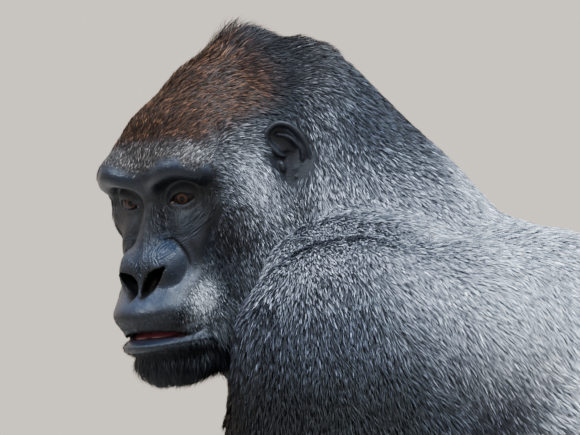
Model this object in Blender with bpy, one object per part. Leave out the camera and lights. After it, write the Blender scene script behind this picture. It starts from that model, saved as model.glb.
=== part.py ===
"""A standing silverback gorilla, life size, on its knuckles and soles with the head turned left.

Frame: +X is the animal's left, -Y is the way it faces, +Z is up, and the floor is z = 0.
The flesh is fused from ellipsoids carried along the bones, then parted into named pieces by
flat cuts a fraction of a millimetre wide. Sizes are in metres, out to the tips of the coat.
"""

import math

import bmesh
import bpy
from mathutils import Euler, Matrix, Vector

# Driving dimensions
SHOULDER = Vector((0.240, -0.250, 0.865))
ELBOW = Vector((0.300, -0.150, 0.475))
WRIST = Vector((0.278, -0.262, 0.168))
KNUCKLES = Vector((0.275, -0.286, 0.086))  # where the fingers leave the palm
FINGER_PITCH = 0.0302  # from one finger's middle to the next
HIP = Vector((0.120, 0.430, 0.635))
KNEE = Vector((0.218, 0.230, 0.365))
ANKLE = Vector((0.188, 0.385, 0.100))
TOE_LINE = 0.250  # y where the toes leave the foot
EAR_AXIS = Vector((0.050, -0.400, 1.075))  # midpoint between the ears
HEAD_YAW, HEAD_PITCH, HEAD_ROLL = 53.0, 29.0, -5.0  # degrees: left, down, left side up
EYE = Vector((0.033, -0.102, 0.001))  # in the head's own frame
EYE_RADIUS = 0.0155

EAR = Vector((0.089, 0.009, -0.018))
EAR_HALF = (0.0095, 0.0245, 0.0325)
EAR_TURN = (0.0, 0.0, -35.0)
MOUTH, MOUTH_HALF, MOUTH_TURN = (0.0, -0.1910, -0.1140), (0.052, 0.036, 0.0045), (-24.0, 0.0, 0.0)
TONGUE, TONGUE_HALF = (0.0, -0.1810, -0.1190), (0.034, 0.028, 0.0030)

# Finger and toe stations: (y, z, half-width, half-depth, half-height)
FINGER = [
    (-0.272, 0.110, 0.0147, 0.016, 0.018),
    (-0.302, 0.066, 0.0147, 0.016, 0.016),
    (-0.326, 0.0200, 0.0147, 0.0170, 0.0210),
    (-0.285, 0.0135, 0.0145, 0.0160, 0.0155),
    (-0.262, 0.0340, 0.0115, 0.0110, 0.0150),
]
TOE = [
    (0.262, 0.023, 0.0108, 0.016, 0.018),
    (0.236, 0.022, 0.0108, 0.016, 0.016),
    (0.212, 0.010, 0.0104, 0.013, 0.013),
]
TOE_MIDDLE, TOE_PITCH = 0.207, 0.0222

GAP = 0.0004  # left between neighbouring pieces
FLESH_VOXEL, HEAD_VOXEL, DIGIT_VOXEL = 0.006, 0.004, 0.0032
FLESH_TRIANGLES, HEAD_TRIANGLES, FINGER_TRIANGLES, TOE_TRIANGLES = 2800, 1100, 76, 44
WELD = 0.00003  # points closer than this are one
FAR = 3.0  # larger than the animal

HEAD_TURN = Euler([math.radians(a) for a in (HEAD_PITCH, HEAD_ROLL, HEAD_YAW)], "XYZ")
HEAD = Matrix.Translation(EAR_AXIS) @ HEAD_TURN.to_matrix().to_4x4()

COLOURS = {
    "coat_black": (0.030, 0.031, 0.036),
    "coat_grey": (0.125, 0.130, 0.145),
    "coat_silver": (0.330, 0.340, 0.370),
    "bare_skin": (0.028, 0.030, 0.036),
    "eye_brown": (0.130, 0.048, 0.014),
    "tongue_pink": (0.480, 0.130, 0.120),
}
GLOSS = {"eye_brown": 0.08, "bare_skin": 0.45, "tongue_pink": 0.35}
SLOT_OF = {
    "eye": "eye_brown",
    "tongue": "tongue_pink",
    "ear": "bare_skin",
    "hand": "bare_skin",
    "thumb": "bare_skin",
    "finger": "bare_skin",
    "foot": "bare_skin",
    "toe": "bare_skin",
    "great_toe": "bare_skin",
    "head": "coat_grey",
    "neck": "coat_grey",
    "chest": "coat_grey",
    "shoulder": "coat_grey",
    "belly": "coat_silver",
    "hips": "coat_silver",
    "thigh": "coat_silver",
}


def clear_scene():
    for item in list(bpy.data.objects):
        bpy.data.objects.remove(item)


# Shapes


def ball(mesh, centre, radii, turn=(0.0, 0.0, 0.0), frame=None, fineness=3):
    """Adds one ellipsoid: its centre, three half-widths and its turn in degrees."""
    turned = Euler([math.radians(a) for a in turn]).to_matrix().to_4x4()
    place = Matrix.Translation(centre) @ turned @ Matrix.Diagonal((*radii, 1.0))
    if frame is not None:
        place = frame @ place
    bmesh.ops.create_icosphere(mesh, subdivisions=fineness, radius=1.0, matrix=place)


def pair(mesh, centre, radii, turn=(0.0, 0.0, 0.0), frame=None):
    """The same ellipsoid on both sides of the midline."""
    for side in (1, -1):
        x, y, z = centre
        a, b, c = turn
        ball(mesh, (side * x, y, z), radii, (a, side * b, side * c), frame)


def between(stations, t):
    """The Catmull-Rom value through equally spaced stations, at t from 0 to 1."""
    span = t * (len(stations) - 1)
    i = min(int(span), len(stations) - 2)
    s = span - i
    p0, p1 = stations[max(i - 1, 0)], stations[i]
    p2, p3 = stations[i + 1], stations[min(i + 2, len(stations) - 1)]
    return [
        0.5 * (2 * b + (c - a) * s + (2 * a - 5 * b + 4 * c - d) * s**2 + (3 * b - a - 3 * c + d) * s**3)
        for a, b, c, d in zip(p0, p1, p2, p3)
    ]


def trail(mesh, stations, steps, frame=None, sides=(1,)):
    """Carries an ellipsoid along stations of (x, y, z, half-width, half-depth, half-height)."""
    for side in sides:
        for n in range(steps + 1):
            x, y, z, *radii = between(stations, n / steps)
            ball(mesh, (side * x, y, z), radii, frame=frame)


# Flesh


def add_trunk(mesh):
    spine = [
        (0, -0.250, 0.880, 0.165, 0.12, 0.150),
        (0, -0.120, 0.812, 0.208, 0.14, 0.204),
        (0, 0.010, 0.762, 0.242, 0.14, 0.201),
        (0, 0.140, 0.732, 0.262, 0.14, 0.204),
        (0, 0.260, 0.710, 0.250, 0.14, 0.186),
        (0, 0.380, 0.700, 0.208, 0.12, 0.152),
        (0, 0.470, 0.690, 0.170, 0.11, 0.122),
    ]
    trail(mesh, spine, 26)
    pair(mesh, (0.088, 0.470, 0.655), (0.105, 0.105, 0.120))  # buttocks
    pair(mesh, (0.130, -0.130, 0.885), (0.125, 0.175, 0.100), (22, 16, 0))  # shoulder blades
    pair(mesh, (0.185, -0.050, 0.800), (0.098, 0.190, 0.140), (24, 0, 0))  # broad back muscles
    pair(mesh, (0.205, -0.165, 0.865), (0.122, 0.150, 0.118), (16, 8, 0))  # behind the shoulder
    pair(mesh, (0.078, -0.305, 0.785), (0.088, 0.085, 0.090))  # breast muscles
    ball(mesh, (0, -0.300, 0.800), (0.100, 0.090, 0.095))  # breastbone


def add_neck(mesh):
    nape = [
        (0.000, -0.120, 0.880, 0.165, 0.11, 0.122),
        (0.000, -0.195, 0.934, 0.155, 0.10, 0.135),
        (0.000, -0.258, 0.987, 0.120, 0.09, 0.145),
        (0.000, -0.312, 1.047, 0.090, 0.085, 0.140),
        (0.004, -0.350, 1.089, 0.072, 0.07, 0.110),
    ]
    trail(mesh, nape, 18)
    throat = [
        (0.00, -0.270, 0.900, 0.150, 0.09, 0.120),
        (0.02, -0.345, 0.930, 0.115, 0.08, 0.110),
        (0.05, -0.390, 0.960, 0.090, 0.07, 0.100),
    ]
    trail(mesh, throat, 10)
    pair(mesh, (0.165, -0.240, 0.925), (0.105, 0.125, 0.082), (0, 26, 0))  # collar muscles


def add_arms(mesh):
    upper = [
        (*SHOULDER, 0.098, 0.132, 0.124),
        (0.266, -0.244, 0.770, 0.094, 0.131, 0.115),
        (0.290, -0.224, 0.640, 0.084, 0.112, 0.100),
        (*ELBOW, 0.070, 0.080, 0.080),
    ]
    trail(mesh, upper, 20, sides=(1, -1))
    fore = [
        (*ELBOW, 0.074, 0.082, 0.078),
        (0.300, -0.185, 0.390, 0.080, 0.084, 0.080),
        (0.290, -0.225, 0.280, 0.069, 0.070, 0.070),
        (*WRIST, 0.054, 0.046, 0.048),
    ]
    trail(mesh, fore, 20, sides=(1, -1))
    palm = [
        (*WRIST, 0.054, 0.045, 0.042),
        (0.276, -0.272, 0.128, 0.060, 0.034, 0.034),
        (0.275, -0.284, 0.096, 0.065, 0.031, 0.028),
    ]
    trail(mesh, palm, 7, sides=(1, -1))
    thumb = [
        (0.238, -0.252, 0.152, 0.017, 0.017, 0.018),
        (0.216, -0.248, 0.128, 0.014, 0.014, 0.018),
        (0.200, -0.252, 0.104, 0.012, 0.012, 0.016),
    ]
    trail(mesh, thumb, 7, sides=(1, -1))


def add_legs(mesh):
    thigh = [
        (*HIP, 0.118, 0.132, 0.125),
        (0.165, 0.360, 0.540, 0.110, 0.125, 0.115),
        (0.200, 0.280, 0.440, 0.092, 0.102, 0.095),
        (*KNEE, 0.070, 0.074, 0.072),
    ]
    trail(mesh, thigh, 18, sides=(1, -1))
    shank = [
        (*KNEE, 0.070, 0.072, 0.070),
        (0.216, 0.294, 0.285, 0.073, 0.083, 0.078),
        (0.200, 0.350, 0.185, 0.060, 0.065, 0.064),
        (*ANKLE, 0.048, 0.051, 0.048),
    ]
    trail(mesh, shank, 18, sides=(1, -1))
    sole = [
        (0.182, 0.440, 0.036, 0.038, 0.038, 0.042),
        (0.188, 0.385, 0.050, 0.042, 0.040, 0.056),
        (0.196, 0.320, 0.036, 0.048, 0.040, 0.042),
        (0.203, 0.262, 0.026, 0.055, 0.030, 0.030),
    ]
    trail(mesh, sole, 12, sides=(1, -1))
    great_toe = [
        (0.172, 0.310, 0.030, 0.024, 0.024, 0.026),
        (0.145, 0.262, 0.024, 0.018, 0.020, 0.022),
        (0.130, 0.212, 0.016, 0.015, 0.019, 0.018),
    ]
    trail(mesh, great_toe, 9, sides=(1, -1))


def add_head(mesh):
    """Skull, jaw muscles and muzzle, in the head's own frame."""
    ball(mesh, (0, 0.020, -0.006), (0.081, 0.102, 0.075), frame=HEAD)  # braincase
    ball(mesh, (0, -0.045, 0.027), (0.064, 0.074, 0.048), frame=HEAD)  # forehead
    crest = [
        (0, -0.050, 0.036, 0.038, 0.050, 0.036),
        (0, 0.020, 0.047, 0.036, 0.060, 0.040),
        (0, 0.092, 0.050, 0.041, 0.057, 0.043),
    ]
    trail(mesh, crest, 10, HEAD)
    ball(mesh, (0, 0.078, -0.006), (0.082, 0.064, 0.084), frame=HEAD)  # nape pad
    pair(mesh, (0.052, -0.020, -0.020), (0.034, 0.072, 0.052), frame=HEAD)  # temples
    brow = [
        (0.062, -0.080, 0.000, 0.010, 0.012, 0.014),
        (0.063, -0.095, 0.020, 0.013, 0.014, 0.014),
        (0.043, -0.110, 0.031, 0.013, 0.014, 0.014),
        (0.020, -0.112, 0.030, 0.014, 0.014, 0.014),
        (0.000, -0.112, 0.026, 0.014, 0.013, 0.012),
    ]
    trail(mesh, brow, 16, HEAD, (1, -1))
    pair(mesh, (0.054, -0.080, -0.026), (0.031, 0.037, 0.036), frame=HEAD)  # cheekbones
    ball(mesh, (0, -0.085, -0.028), (0.056, 0.038, 0.050), frame=HEAD)  # mid face
    pair(mesh, (0.032, -0.112, -0.044), (0.024, 0.040, 0.034), (30, 0, 0), HEAD)  # beside the nose
    bridge = [
        (0, -0.104, 0.024, 0.012, 0.014, 0.014),
        (0, -0.115, -0.005, 0.012, 0.016, 0.016),
        (0, -0.138, -0.030, 0.018, 0.018, 0.018),
        (0, -0.160, -0.046, 0.024, 0.020, 0.018),
    ]
    trail(mesh, bridge, 12, HEAD)
    pair(mesh, (0.019, -0.165, -0.056), (0.0225, 0.028, 0.026), (20, 0, 0), HEAD)  # nose wings
    ball(mesh, (0, -0.140, -0.090), (0.057, 0.078, 0.050), (18, 0, 0), HEAD)  # muzzle
    ball(mesh, (0, -0.175, -0.092), (0.048, 0.044, 0.022), (-16, 0, 0), HEAD)  # upper lip
    ball(mesh, (0, -0.177, -0.124), (0.047, 0.045, 0.019), (-16, 0, 0), HEAD)  # lower lip
    jaw = [
        (0.000, -0.178, -0.146, 0.038, 0.034, 0.026),
        (0.018, -0.168, -0.148, 0.035, 0.034, 0.027),
        (0.040, -0.110, -0.138, 0.032, 0.042, 0.036),
        (0.056, -0.045, -0.110, 0.030, 0.042, 0.048),
    ]
    trail(mesh, jaw, 16, HEAD, (1, -1))
    pair(mesh, (0.062, -0.045, -0.064), (0.028, 0.052, 0.062), frame=HEAD)  # chewing muscles
    ball(mesh, (0, -0.070, -0.110), (0.060, 0.090, 0.048), (-12, 0, 0), HEAD)  # throat


def add_finger(mesh, x):
    """One finger of the left hand, from inside the palm to its curled tip."""
    for start, end in zip(FINGER[:-1], FINGER[1:]):
        trail(mesh, [(x, *start), (x, *end)], 5)


def add_toe(mesh, x):
    trail(mesh, [(x, *TOE[0]), (x, *TOE[1]), (x, *TOE[2])], 8)


# From ellipsoids to closed pieces


def finished(mesh, name):
    """Turns a bmesh into an object of that name, and frees it."""
    data = bpy.data.meshes.new(name)
    mesh.to_mesh(data)
    mesh.free()
    item = bpy.data.objects.new(name, data)
    bpy.context.scene.collection.objects.link(item)
    return item


def settled(item):
    """Applies the object's modifiers to its mesh."""
    graph = bpy.context.evaluated_depsgraph_get()
    data = bpy.data.meshes.new_from_object(item.evaluated_get(graph))
    item.modifiers.clear()
    item.data = data
    return item


def fused(name, adders, voxel, smoothing):
    """One smooth closed surface round all that the functions add."""
    mesh = bmesh.new()
    for add in adders:
        add(mesh)
    item = finished(mesh, name)
    remesh = item.modifiers.new("Fuse", "REMESH")
    remesh.mode = "VOXEL"
    remesh.voxel_size = voxel
    soften = item.modifiers.new("Soften", "SMOOTH")
    soften.iterations = smoothing
    return settled(item)


def thinned(item, triangles):
    """Collapses edges until about that many triangles are left."""
    item.data.calc_loop_triangles()
    thin = item.modifiers.new("Thin", "DECIMATE")
    thin.ratio = min(1.0, triangles / len(item.data.loop_triangles))
    return settled(item)


def cell(planes):
    """The convex region that lies ahead of every (point, direction) plane."""
    mesh = bmesh.new()
    bmesh.ops.create_cube(mesh, size=2 * FAR)
    for point, direction in planes:
        every = mesh.verts[:] + mesh.edges[:] + mesh.faces[:]
        cut = bmesh.ops.bisect_plane(
            mesh, geom=every, plane_co=point, plane_no=direction, clear_inner=True
        )
        rim = [e for e in cut["geom_cut"] if isinstance(e, bmesh.types.BMEdge)]
        bmesh.ops.edgeloop_fill(mesh, edges=rim)
    bmesh.ops.recalc_face_normals(mesh, faces=mesh.faces)
    return finished(mesh, "cell")


def combined(item, other, operation):
    """Runs one Boolean with a helper object, which is then removed."""
    join = item.modifiers.new("Cut", "BOOLEAN")
    join.operation = operation
    join.solver = "EXACT"
    join.object = other
    settled(item)
    bpy.data.objects.remove(other)
    mesh = bmesh.new()
    mesh.from_mesh(item.data)
    bmesh.ops.remove_doubles(mesh, verts=mesh.verts, dist=WELD)
    bmesh.ops.dissolve_degenerate(mesh, edges=mesh.edges, dist=WELD)
    mesh.to_mesh(item.data)
    mesh.free()
    return item


def copied(item, name):
    twin = item.copy()
    twin.data = item.data.copy()
    twin.name = name
    bpy.context.scene.collection.objects.link(twin)
    return twin


def widened(planes, by=GAP):
    """The same planes, moved out by the gap or by another distance."""
    return [(Vector(p) - by * Vector(d).normalized(), d) for p, d in planes]


def hollowed(item, centre, radii, turn=(0.0, 0.0, 0.0), frame=None, fineness=2):
    """Cuts an ellipsoid out of the piece."""
    mesh = bmesh.new()
    ball(mesh, centre, radii, turn, frame, fineness)
    return combined(item, finished(mesh, "cutter"), "DIFFERENCE")


def mirrored(side, planes):
    """Planes given for the left side, moved to the side wanted."""
    return [((side * p[0], p[1], p[2]), (side * d[0], d[1], d[2])) for p, d in planes]


# Pieces

HEAD_CELL = [
    ((0.090, -0.285, 1.087), (0.36, -0.92, 0.16)),  # behind the ears
    ((0.013, -0.357, 0.935), (0.707, -0.578, 0.407)),  # under the jaw
    ((0.175, -0.365, 0.900), (-0.55, -0.83, 0.10)),  # clear of the near shoulder
    ((0.100, -0.400, 0.814), (0.02, -0.60, 0.80)),  # clear of the breast
]
ARM_CELL = [((0.176, 0, 0.60), (1, 0, 0)), ((0, -0.050, 0), (0, -1, 0.10))]
LEG_CELL = [
    ((0.100, 0.400, 0.585), (0.75, -0.10, -0.65)),  # hip fold
    ((0, 0.300, 0.720), (0, 0.857, -0.514)),  # front of the thigh
    ((0.006, 0, 0), (1, 0, 0)),  # midline
]
UPPER_ARM_CELL = [((0, -0.150, 0.675), (0.1, 0.25, -1)), ((0, -0.125, 0.735), (0, -1, -0.35))]
FOREARM_CELL = [(tuple(ELBOW), (0, 0.25, -1))]
HAND_CELL = [(tuple(WRIST), (0, -0.25, -1))]
THUMB_CELL = [((0.231, 0, 0.125), (-1, 0, -0.35))]
FINGER_CELL = [(tuple(KNUCKLES), (0, -0.45, -0.89))]
SHANK_CELL = [(tuple(KNEE), (0, 0.45, -1))]
FOOT_CELL = [(tuple(ANKLE), (0, 0.10, -1))]
GREAT_TOE_CELL = [((0.146, 0.275, 0), (-0.8, -0.6, 0))]
TOE_CELL = [((0, TOE_LINE, 0), (0, -1, 0)), ((0.1605, 0, 0), (1, 0, 0))]
NECK_CELL = [((0, -0.200, 1.00), (0, -0.70, 0.714))]
HIPS_CELL = [((0, 0.300, 0.70), (0, 1, -0.15))]
BELLY_CELL = [((0, 0.070, 0.70), (0, 1, -0.10))]
BELOW_FLOOR = [((0, 0, 0), (0, 0, -1))]


def cut_off(rest, name, planes):
    """Takes the flesh inside the cell out of rest as a new piece, a gap away from it."""
    piece = combined(copied(rest, name), cell(planes), "INTERSECT")
    combined(rest, cell(widened(planes)), "DIFFERENCE")
    return piece


def side_pieces(rest, side, word):
    """One arm and one leg, cut from the rest joint by joint."""
    arm = cut_off(rest, f"shoulder_{word}", mirrored(side, ARM_CELL))
    upper = cut_off(arm, f"upper_arm_{word}", mirrored(side, UPPER_ARM_CELL))
    fore = cut_off(upper, f"forearm_{word}", mirrored(side, FOREARM_CELL))
    hand = cut_off(fore, f"hand_{word}", mirrored(side, HAND_CELL))
    combined(hand, cell(widened(mirrored(side, FINGER_CELL))), "DIFFERENCE")
    cut_off(hand, f"thumb_{word}", mirrored(side, THUMB_CELL))
    leg = cut_off(rest, f"thigh_{word}", mirrored(side, LEG_CELL))
    shank = cut_off(leg, f"shank_{word}", mirrored(side, SHANK_CELL))
    foot = cut_off(shank, f"foot_{word}", mirrored(side, FOOT_CELL))
    combined(foot, cell(widened(mirrored(side, TOE_CELL))), "DIFFERENCE")
    cut_off(foot, f"great_toe_{word}", mirrored(side, GREAT_TOE_CELL))


def digits(side, word):
    """Four fingers and four toes, each cut flat at its root and at the floor."""
    rows = [
        ("finger", add_finger, KNUCKLES.x, FINGER_PITCH, FINGER_CELL, FINGER_TRIANGLES),
        ("toe", add_toe, TOE_MIDDLE, TOE_PITCH, TOE_CELL, TOE_TRIANGLES),
    ]
    for kind, add, middle, pitch, root, triangles in rows:
        for n in range(4):
            x = side * (middle + (n - 1.5) * pitch)
            digit = fused(f"{kind}_{n + 1}_{word}", [lambda mesh: add(mesh, x)], DIGIT_VOXEL, 3)
            thinned(digit, triangles)
            combined(digit, cell(mirrored(side, root)), "INTERSECT")
            combined(digit, cell(BELOW_FLOOR), "DIFFERENCE")


def head_pieces():
    """The head with its mouth, nostrils and sockets, then the ears, eyes and tongue in them."""
    head = fused("head", [add_head, add_neck, add_trunk], HEAD_VOXEL, 8)
    combined(head, cell(widened(HEAD_CELL, 0.02)), "INTERSECT")
    thinned(head, HEAD_TRIANGLES)
    combined(head, cell(HEAD_CELL), "INTERSECT")
    hollowed(head, MOUTH, MOUTH_HALF, MOUTH_TURN, HEAD)
    for side, word in ((1, "left"), (-1, "right")):
        eye_at = (side * EYE.x, EYE.y, EYE.z)
        hollowed(head, (side * 0.034, -0.122, 0.000), (0.0175, 0.016, 0.010), (0, 0, 0), HEAD)
        hollowed(head, eye_at, [EYE_RADIUS + GAP] * 3, (0, 0, 0), HEAD)
        hollowed(head, (side * 0.0150, -0.188, -0.056), (0.0080, 0.014, 0.0065), (0, 0, 0), HEAD)
        turn = (EAR_TURN[0], side * EAR_TURN[1], side * EAR_TURN[2])
        ear_at = (side * EAR.x, EAR.y, EAR.z)
        hollowed(head, ear_at, [r + GAP for r in EAR_HALF], turn, HEAD)
        mesh = bmesh.new()
        ball(mesh, ear_at, EAR_HALF, turn, HEAD, 2)
        ear = finished(mesh, f"ear_{word}")
        hollowed(ear, (side * (EAR.x + 0.0085), EAR.y - 0.006, EAR.z), (0.0085, 0.0165, 0.0225), turn, HEAD)
        mesh = bmesh.new()
        ball(mesh, eye_at, [EYE_RADIUS] * 3, (0, 0, 0), HEAD, 2)
        finished(mesh, f"eye_{word}")
    mesh = bmesh.new()
    ball(mesh, TONGUE, TONGUE_HALF, MOUTH_TURN, HEAD, 2)
    finished(mesh, "tongue")
    hollowed(head, TONGUE, [r + GAP for r in TONGUE_HALF], MOUTH_TURN, HEAD)


def coloured(item):
    """Gives the piece the material of its kind."""
    slot = next((s for word, s in SLOT_OF.items() if item.name.startswith(word)), "coat_black")
    material = bpy.data.materials.get(slot) or bpy.data.materials.new(slot)
    material.use_nodes = True
    shader = material.node_tree.nodes["Principled BSDF"]
    shader.inputs["Base Color"].default_value = (*COLOURS[slot], 1.0)
    shader.inputs["Roughness"].default_value = GLOSS.get(slot, 0.8)
    item.data.materials.clear()
    item.data.materials.append(material)
    item.data.shade_smooth()


def centred():
    """Moves every piece so that the middle of the whole box is over the origin."""
    points = [v.co for item in bpy.data.objects for v in item.data.vertices]
    across = [p.x for p in points]
    along = [p.y for p in points]
    middle = Vector((max(across) + min(across), max(along) + min(along), 0)) / 2
    for item in bpy.data.objects:
        item.data.transform(Matrix.Translation(-middle))
    return middle


def main():
    clear_scene()
    head_pieces()
    adders = [add_trunk, add_neck, add_arms, add_legs, add_head]
    rest = thinned(fused("chest", adders, FLESH_VOXEL, 8), FLESH_TRIANGLES)
    combined(rest, cell(BELOW_FLOOR), "DIFFERENCE")
    combined(rest, cell(widened(HEAD_CELL)), "DIFFERENCE")
    for side, word in ((1, "left"), (-1, "right")):
        side_pieces(rest, side, word)
        digits(side, word)
    cut_off(rest, "neck", NECK_CELL)
    cut_off(rest, "hips", HIPS_CELL)
    cut_off(rest, "belly", BELLY_CELL)
    centred()
    for item in bpy.data.objects:
        coloured(item)


if __name__ == "__main__":
    main()
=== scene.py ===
import math
import bpy
import numpy as np
from mathutils import Euler, Matrix


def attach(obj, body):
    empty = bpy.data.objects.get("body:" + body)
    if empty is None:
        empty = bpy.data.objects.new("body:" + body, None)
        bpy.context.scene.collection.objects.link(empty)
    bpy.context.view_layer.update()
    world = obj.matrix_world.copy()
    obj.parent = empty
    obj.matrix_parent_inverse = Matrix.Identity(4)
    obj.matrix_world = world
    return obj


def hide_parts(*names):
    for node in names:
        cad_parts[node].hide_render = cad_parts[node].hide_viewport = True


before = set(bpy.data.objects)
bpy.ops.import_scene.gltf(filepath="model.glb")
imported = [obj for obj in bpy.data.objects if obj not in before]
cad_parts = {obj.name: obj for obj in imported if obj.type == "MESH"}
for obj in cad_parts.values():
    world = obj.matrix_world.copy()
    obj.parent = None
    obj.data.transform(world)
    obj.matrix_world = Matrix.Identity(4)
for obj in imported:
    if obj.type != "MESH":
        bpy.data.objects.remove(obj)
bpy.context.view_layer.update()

# Standing silverback gorilla. +X is its left, -Y is the way it faces, the floor is z = 0. The tables of forms and of
# the coat are in mm, everything else is in metres.

shift = np.array((0.00018, 0.03124, 0.0))  # the body's tables are given from a point this far off the origin

head = {
    "earAxis": (0.050, -0.400, 1.075),  # midpoint between the ears
    "turn": (29.0, -5.0, 53.0),  # degrees down, to the side, to the left
    "eye": (0.033, -0.102, 0.001),  # in the head's own frame, left one
    "eyeRadius": 0.0155,
}


def turnOf(degrees):
    return np.array(Euler([math.radians(a) for a in degrees], "XYZ").to_matrix())


earAxis = np.array(head["earAxis"]) - shift
headTurn = turnOf(head["turn"])


def toHead(points):
    # world to the head's own frame
    return (points - earAxis) @ headTurn


def fromHead(points):
    return points @ headTurn.T + earAxis


def headPlace(points):
    # distance from the midline, back and up, in the head's frame
    x, y, z = toHead(points).T
    return np.abs(x), y, z


def bodyPlace(points):
    # the same in the frame of the body's tables
    x, y, z = (points + shift).T
    return np.abs(x), y, z


def smooth(low, high, value):
    # 0 below low, 1 above high, an S curve between
    t = np.clip((value - low) / (high - low), 0, 1)
    return t * t * (3 - 2 * t)


def bell(value, middle, width):
    return np.exp(-(((value - middle) / width) ** 2))


def softMin(a, b, k):
    # the smaller of two distances, rounded over where they are closer than k
    h = np.maximum(k - np.abs(a - b), 0) / k
    return np.minimum(a, b) - h * h * (k / 4)


def strung(stations, steps=0, sides=(1,), turn=(0, 0, 0), per=1000):
    # ellipsoids (x, y, z, half-width, half-depth, half-height), with steps laid along a Catmull-Rom curve through them
    s = np.array(stations, float) / per
    at = s
    if steps:
        s = np.vstack([s[:1], s, s[-1:]])
        t = np.linspace(0, len(stations) - 1, steps + 1)
        i = np.minimum(t.astype(int), len(stations) - 2)
        f = (t - i)[:, None]
        a, b, c, d = s[i], s[i + 1], s[i + 2], s[i + 3]
        at = 0.5 * (2 * b + (c - a) * f + (2 * a - 5 * b + 4 * c - d) * f**2 + (3 * b - a - 3 * c + d) * f**3)
        if len(stations) == 2:
            at = b * (1 - f) + c * f
    return [
        ((side * p[0], p[1], p[2]), tuple(p[3:]), (turn[0], side * turn[1], side * turn[2]))
        for side in sides
        for p in at
    ]


class Clay:
    # a signed distance on a regular grid, negative inside the flesh
    def __init__(self, low, high, step):
        self.step = step
        counts = [int(math.ceil((b - a) / step)) + 1 for a, b in zip(low, high)]
        self.axes = [np.float32(a + step * np.arange(n)) for a, n in zip(low, counts)]
        self.depth = np.full(counts, 0.06, np.float32)

    def window(self, low, high):
        cut = []
        for axis, a, b in zip(self.axes, low, high):
            i, j = np.searchsorted(axis, (a, b))
            cut.append(slice(max(i - 1, 0), min(j + 1, len(axis))))
        x, y, z = (axis[c] for axis, c in zip(self.axes, cut))
        return tuple(cut), x[:, None, None], y[None, :, None], z[None, None, :]

    def distance(self, balls, reach):
        centres = np.array([b[0] for b in balls])
        sizes = np.array([max(b[1]) for b in balls])[:, None] + reach
        cut, x, y, z = self.window((centres - sizes).min(0), (centres + sizes).max(0))
        near = None
        for centre, radii, turn in balls:
            p = [np.float32(axis - c) for axis, c in zip((x, y, z), centre)]
            if any(turn):
                m = np.float32(turnOf(turn))
                p = [p[0] * m[0, i] + p[1] * m[1, i] + p[2] * m[2, i] for i in range(3)]
            inner = np.sqrt(sum((q * np.float32(1 / r)) ** 2 for q, r in zip(p, radii)))
            outer = sum((q * np.float32(1 / r**2)) ** 2 for q, r in zip(p, radii))
            d = inner * (inner - 1) / np.sqrt(outer + np.float32(1e-9))
            near = d if near is None else np.minimum(near, d)
        return cut, near

    def add(self, balls, soft):
        cut, near = self.distance(balls, soft + 2 * self.step)
        self.depth[cut] = softMin(self.depth[cut], near, soft)

    def carve(self, balls, soft):
        cut, near = self.distance(balls, soft + 2 * self.step)
        self.depth[cut] = -softMin(-self.depth[cut], near, soft)

    def addForms(self, forms, place=lambda balls: balls):
        # rows of softness, steps, sides, tilt and stations; a negative softness carves
        for soft, steps, sides, tilt, stations in forms:
            balls = place(strung(stations, steps, sides, (tilt, 0, 0)))
            (self.add if soft > 0 else self.carve)(balls, abs(soft) / 1000)

    def shape(self, low, high, change):
        # change(x, y, z, depth) gives the new distances in a box
        cut, x, y, z = self.window(low, high)
        self.depth[cut] = np.float32(change(x, y, z, self.depth[cut]))

    def untangle(self):
        # no two cells meet in a line only, so that the surface is closed
        f = self.depth
        changed = True
        while changed:
            changed = False
            for u, v in ((0, 1), (1, 2), (2, 0)):
                corners = []
                for i, j in ((0, 0), (1, 1), (1, 0), (0, 1)):
                    cut = [slice(None)] * 3
                    cut[u] = slice(i, f.shape[u] - 1 + i)
                    cut[v] = slice(j, f.shape[v] - 1 + j)
                    corners.append(f[tuple(cut)])
                a, b, c, d = (k < 0 for k in corners)
                checker = (a == b) & (c == d) & (a != c)
                corners[2][checker & a] = -1e-5
                corners[0][checker & ~a] = -1e-5
                changed = changed or bool(checker.any())

    def surface(self):
        # one point in each cell that the surface crosses, at the mean of its crossings, a quad round each crossed edge
        f = self.depth
        for side in (0, -1):
            f[side] = f[:, side] = f[:, :, side] = self.step
        self.untangle()
        inside = f < 0
        cells = np.array(f.shape) - 1
        total = int(np.prod(cells))
        sums, count = np.zeros((3, total)), np.zeros(total)
        quads = []
        for axis in range(3):
            one, two = [slice(None)] * 3, [slice(None)] * 3
            one[axis], two[axis] = slice(0, -1), slice(1, None)
            crossed = inside[tuple(one)] != inside[tuple(two)]
            at = np.argwhere(crossed)
            f0, f1 = f[tuple(one)][crossed], f[tuple(two)][crossed]
            point = at.astype(float)
            point[:, axis] += f0 / (f0 - f1)
            quad = []
            for du, dv in ((-1, -1), (0, -1), (0, 0), (-1, 0)):
                cell = at.copy()
                cell[:, (axis + 1) % 3] += du
                cell[:, (axis + 2) % 3] += dv
                flat = np.ravel_multi_index(cell.T, cells)
                quad.append(flat)
                count += np.bincount(flat, minlength=total)
                for k in range(3):
                    sums[k] += np.bincount(flat, weights=point[:, k], minlength=total)
            quad = np.stack(quad, 1)
            quads.append(np.where((f0 >= 0)[:, None], quad[:, ::-1], quad))
        used = np.flatnonzero(count)
        order = np.full(total, -1)
        order[used] = np.arange(len(used))
        low = np.array([axis[0] for axis in self.axes])
        return low + self.step * (sums[:, used] / count[used]).T, order[np.vstack(quads)]


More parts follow.
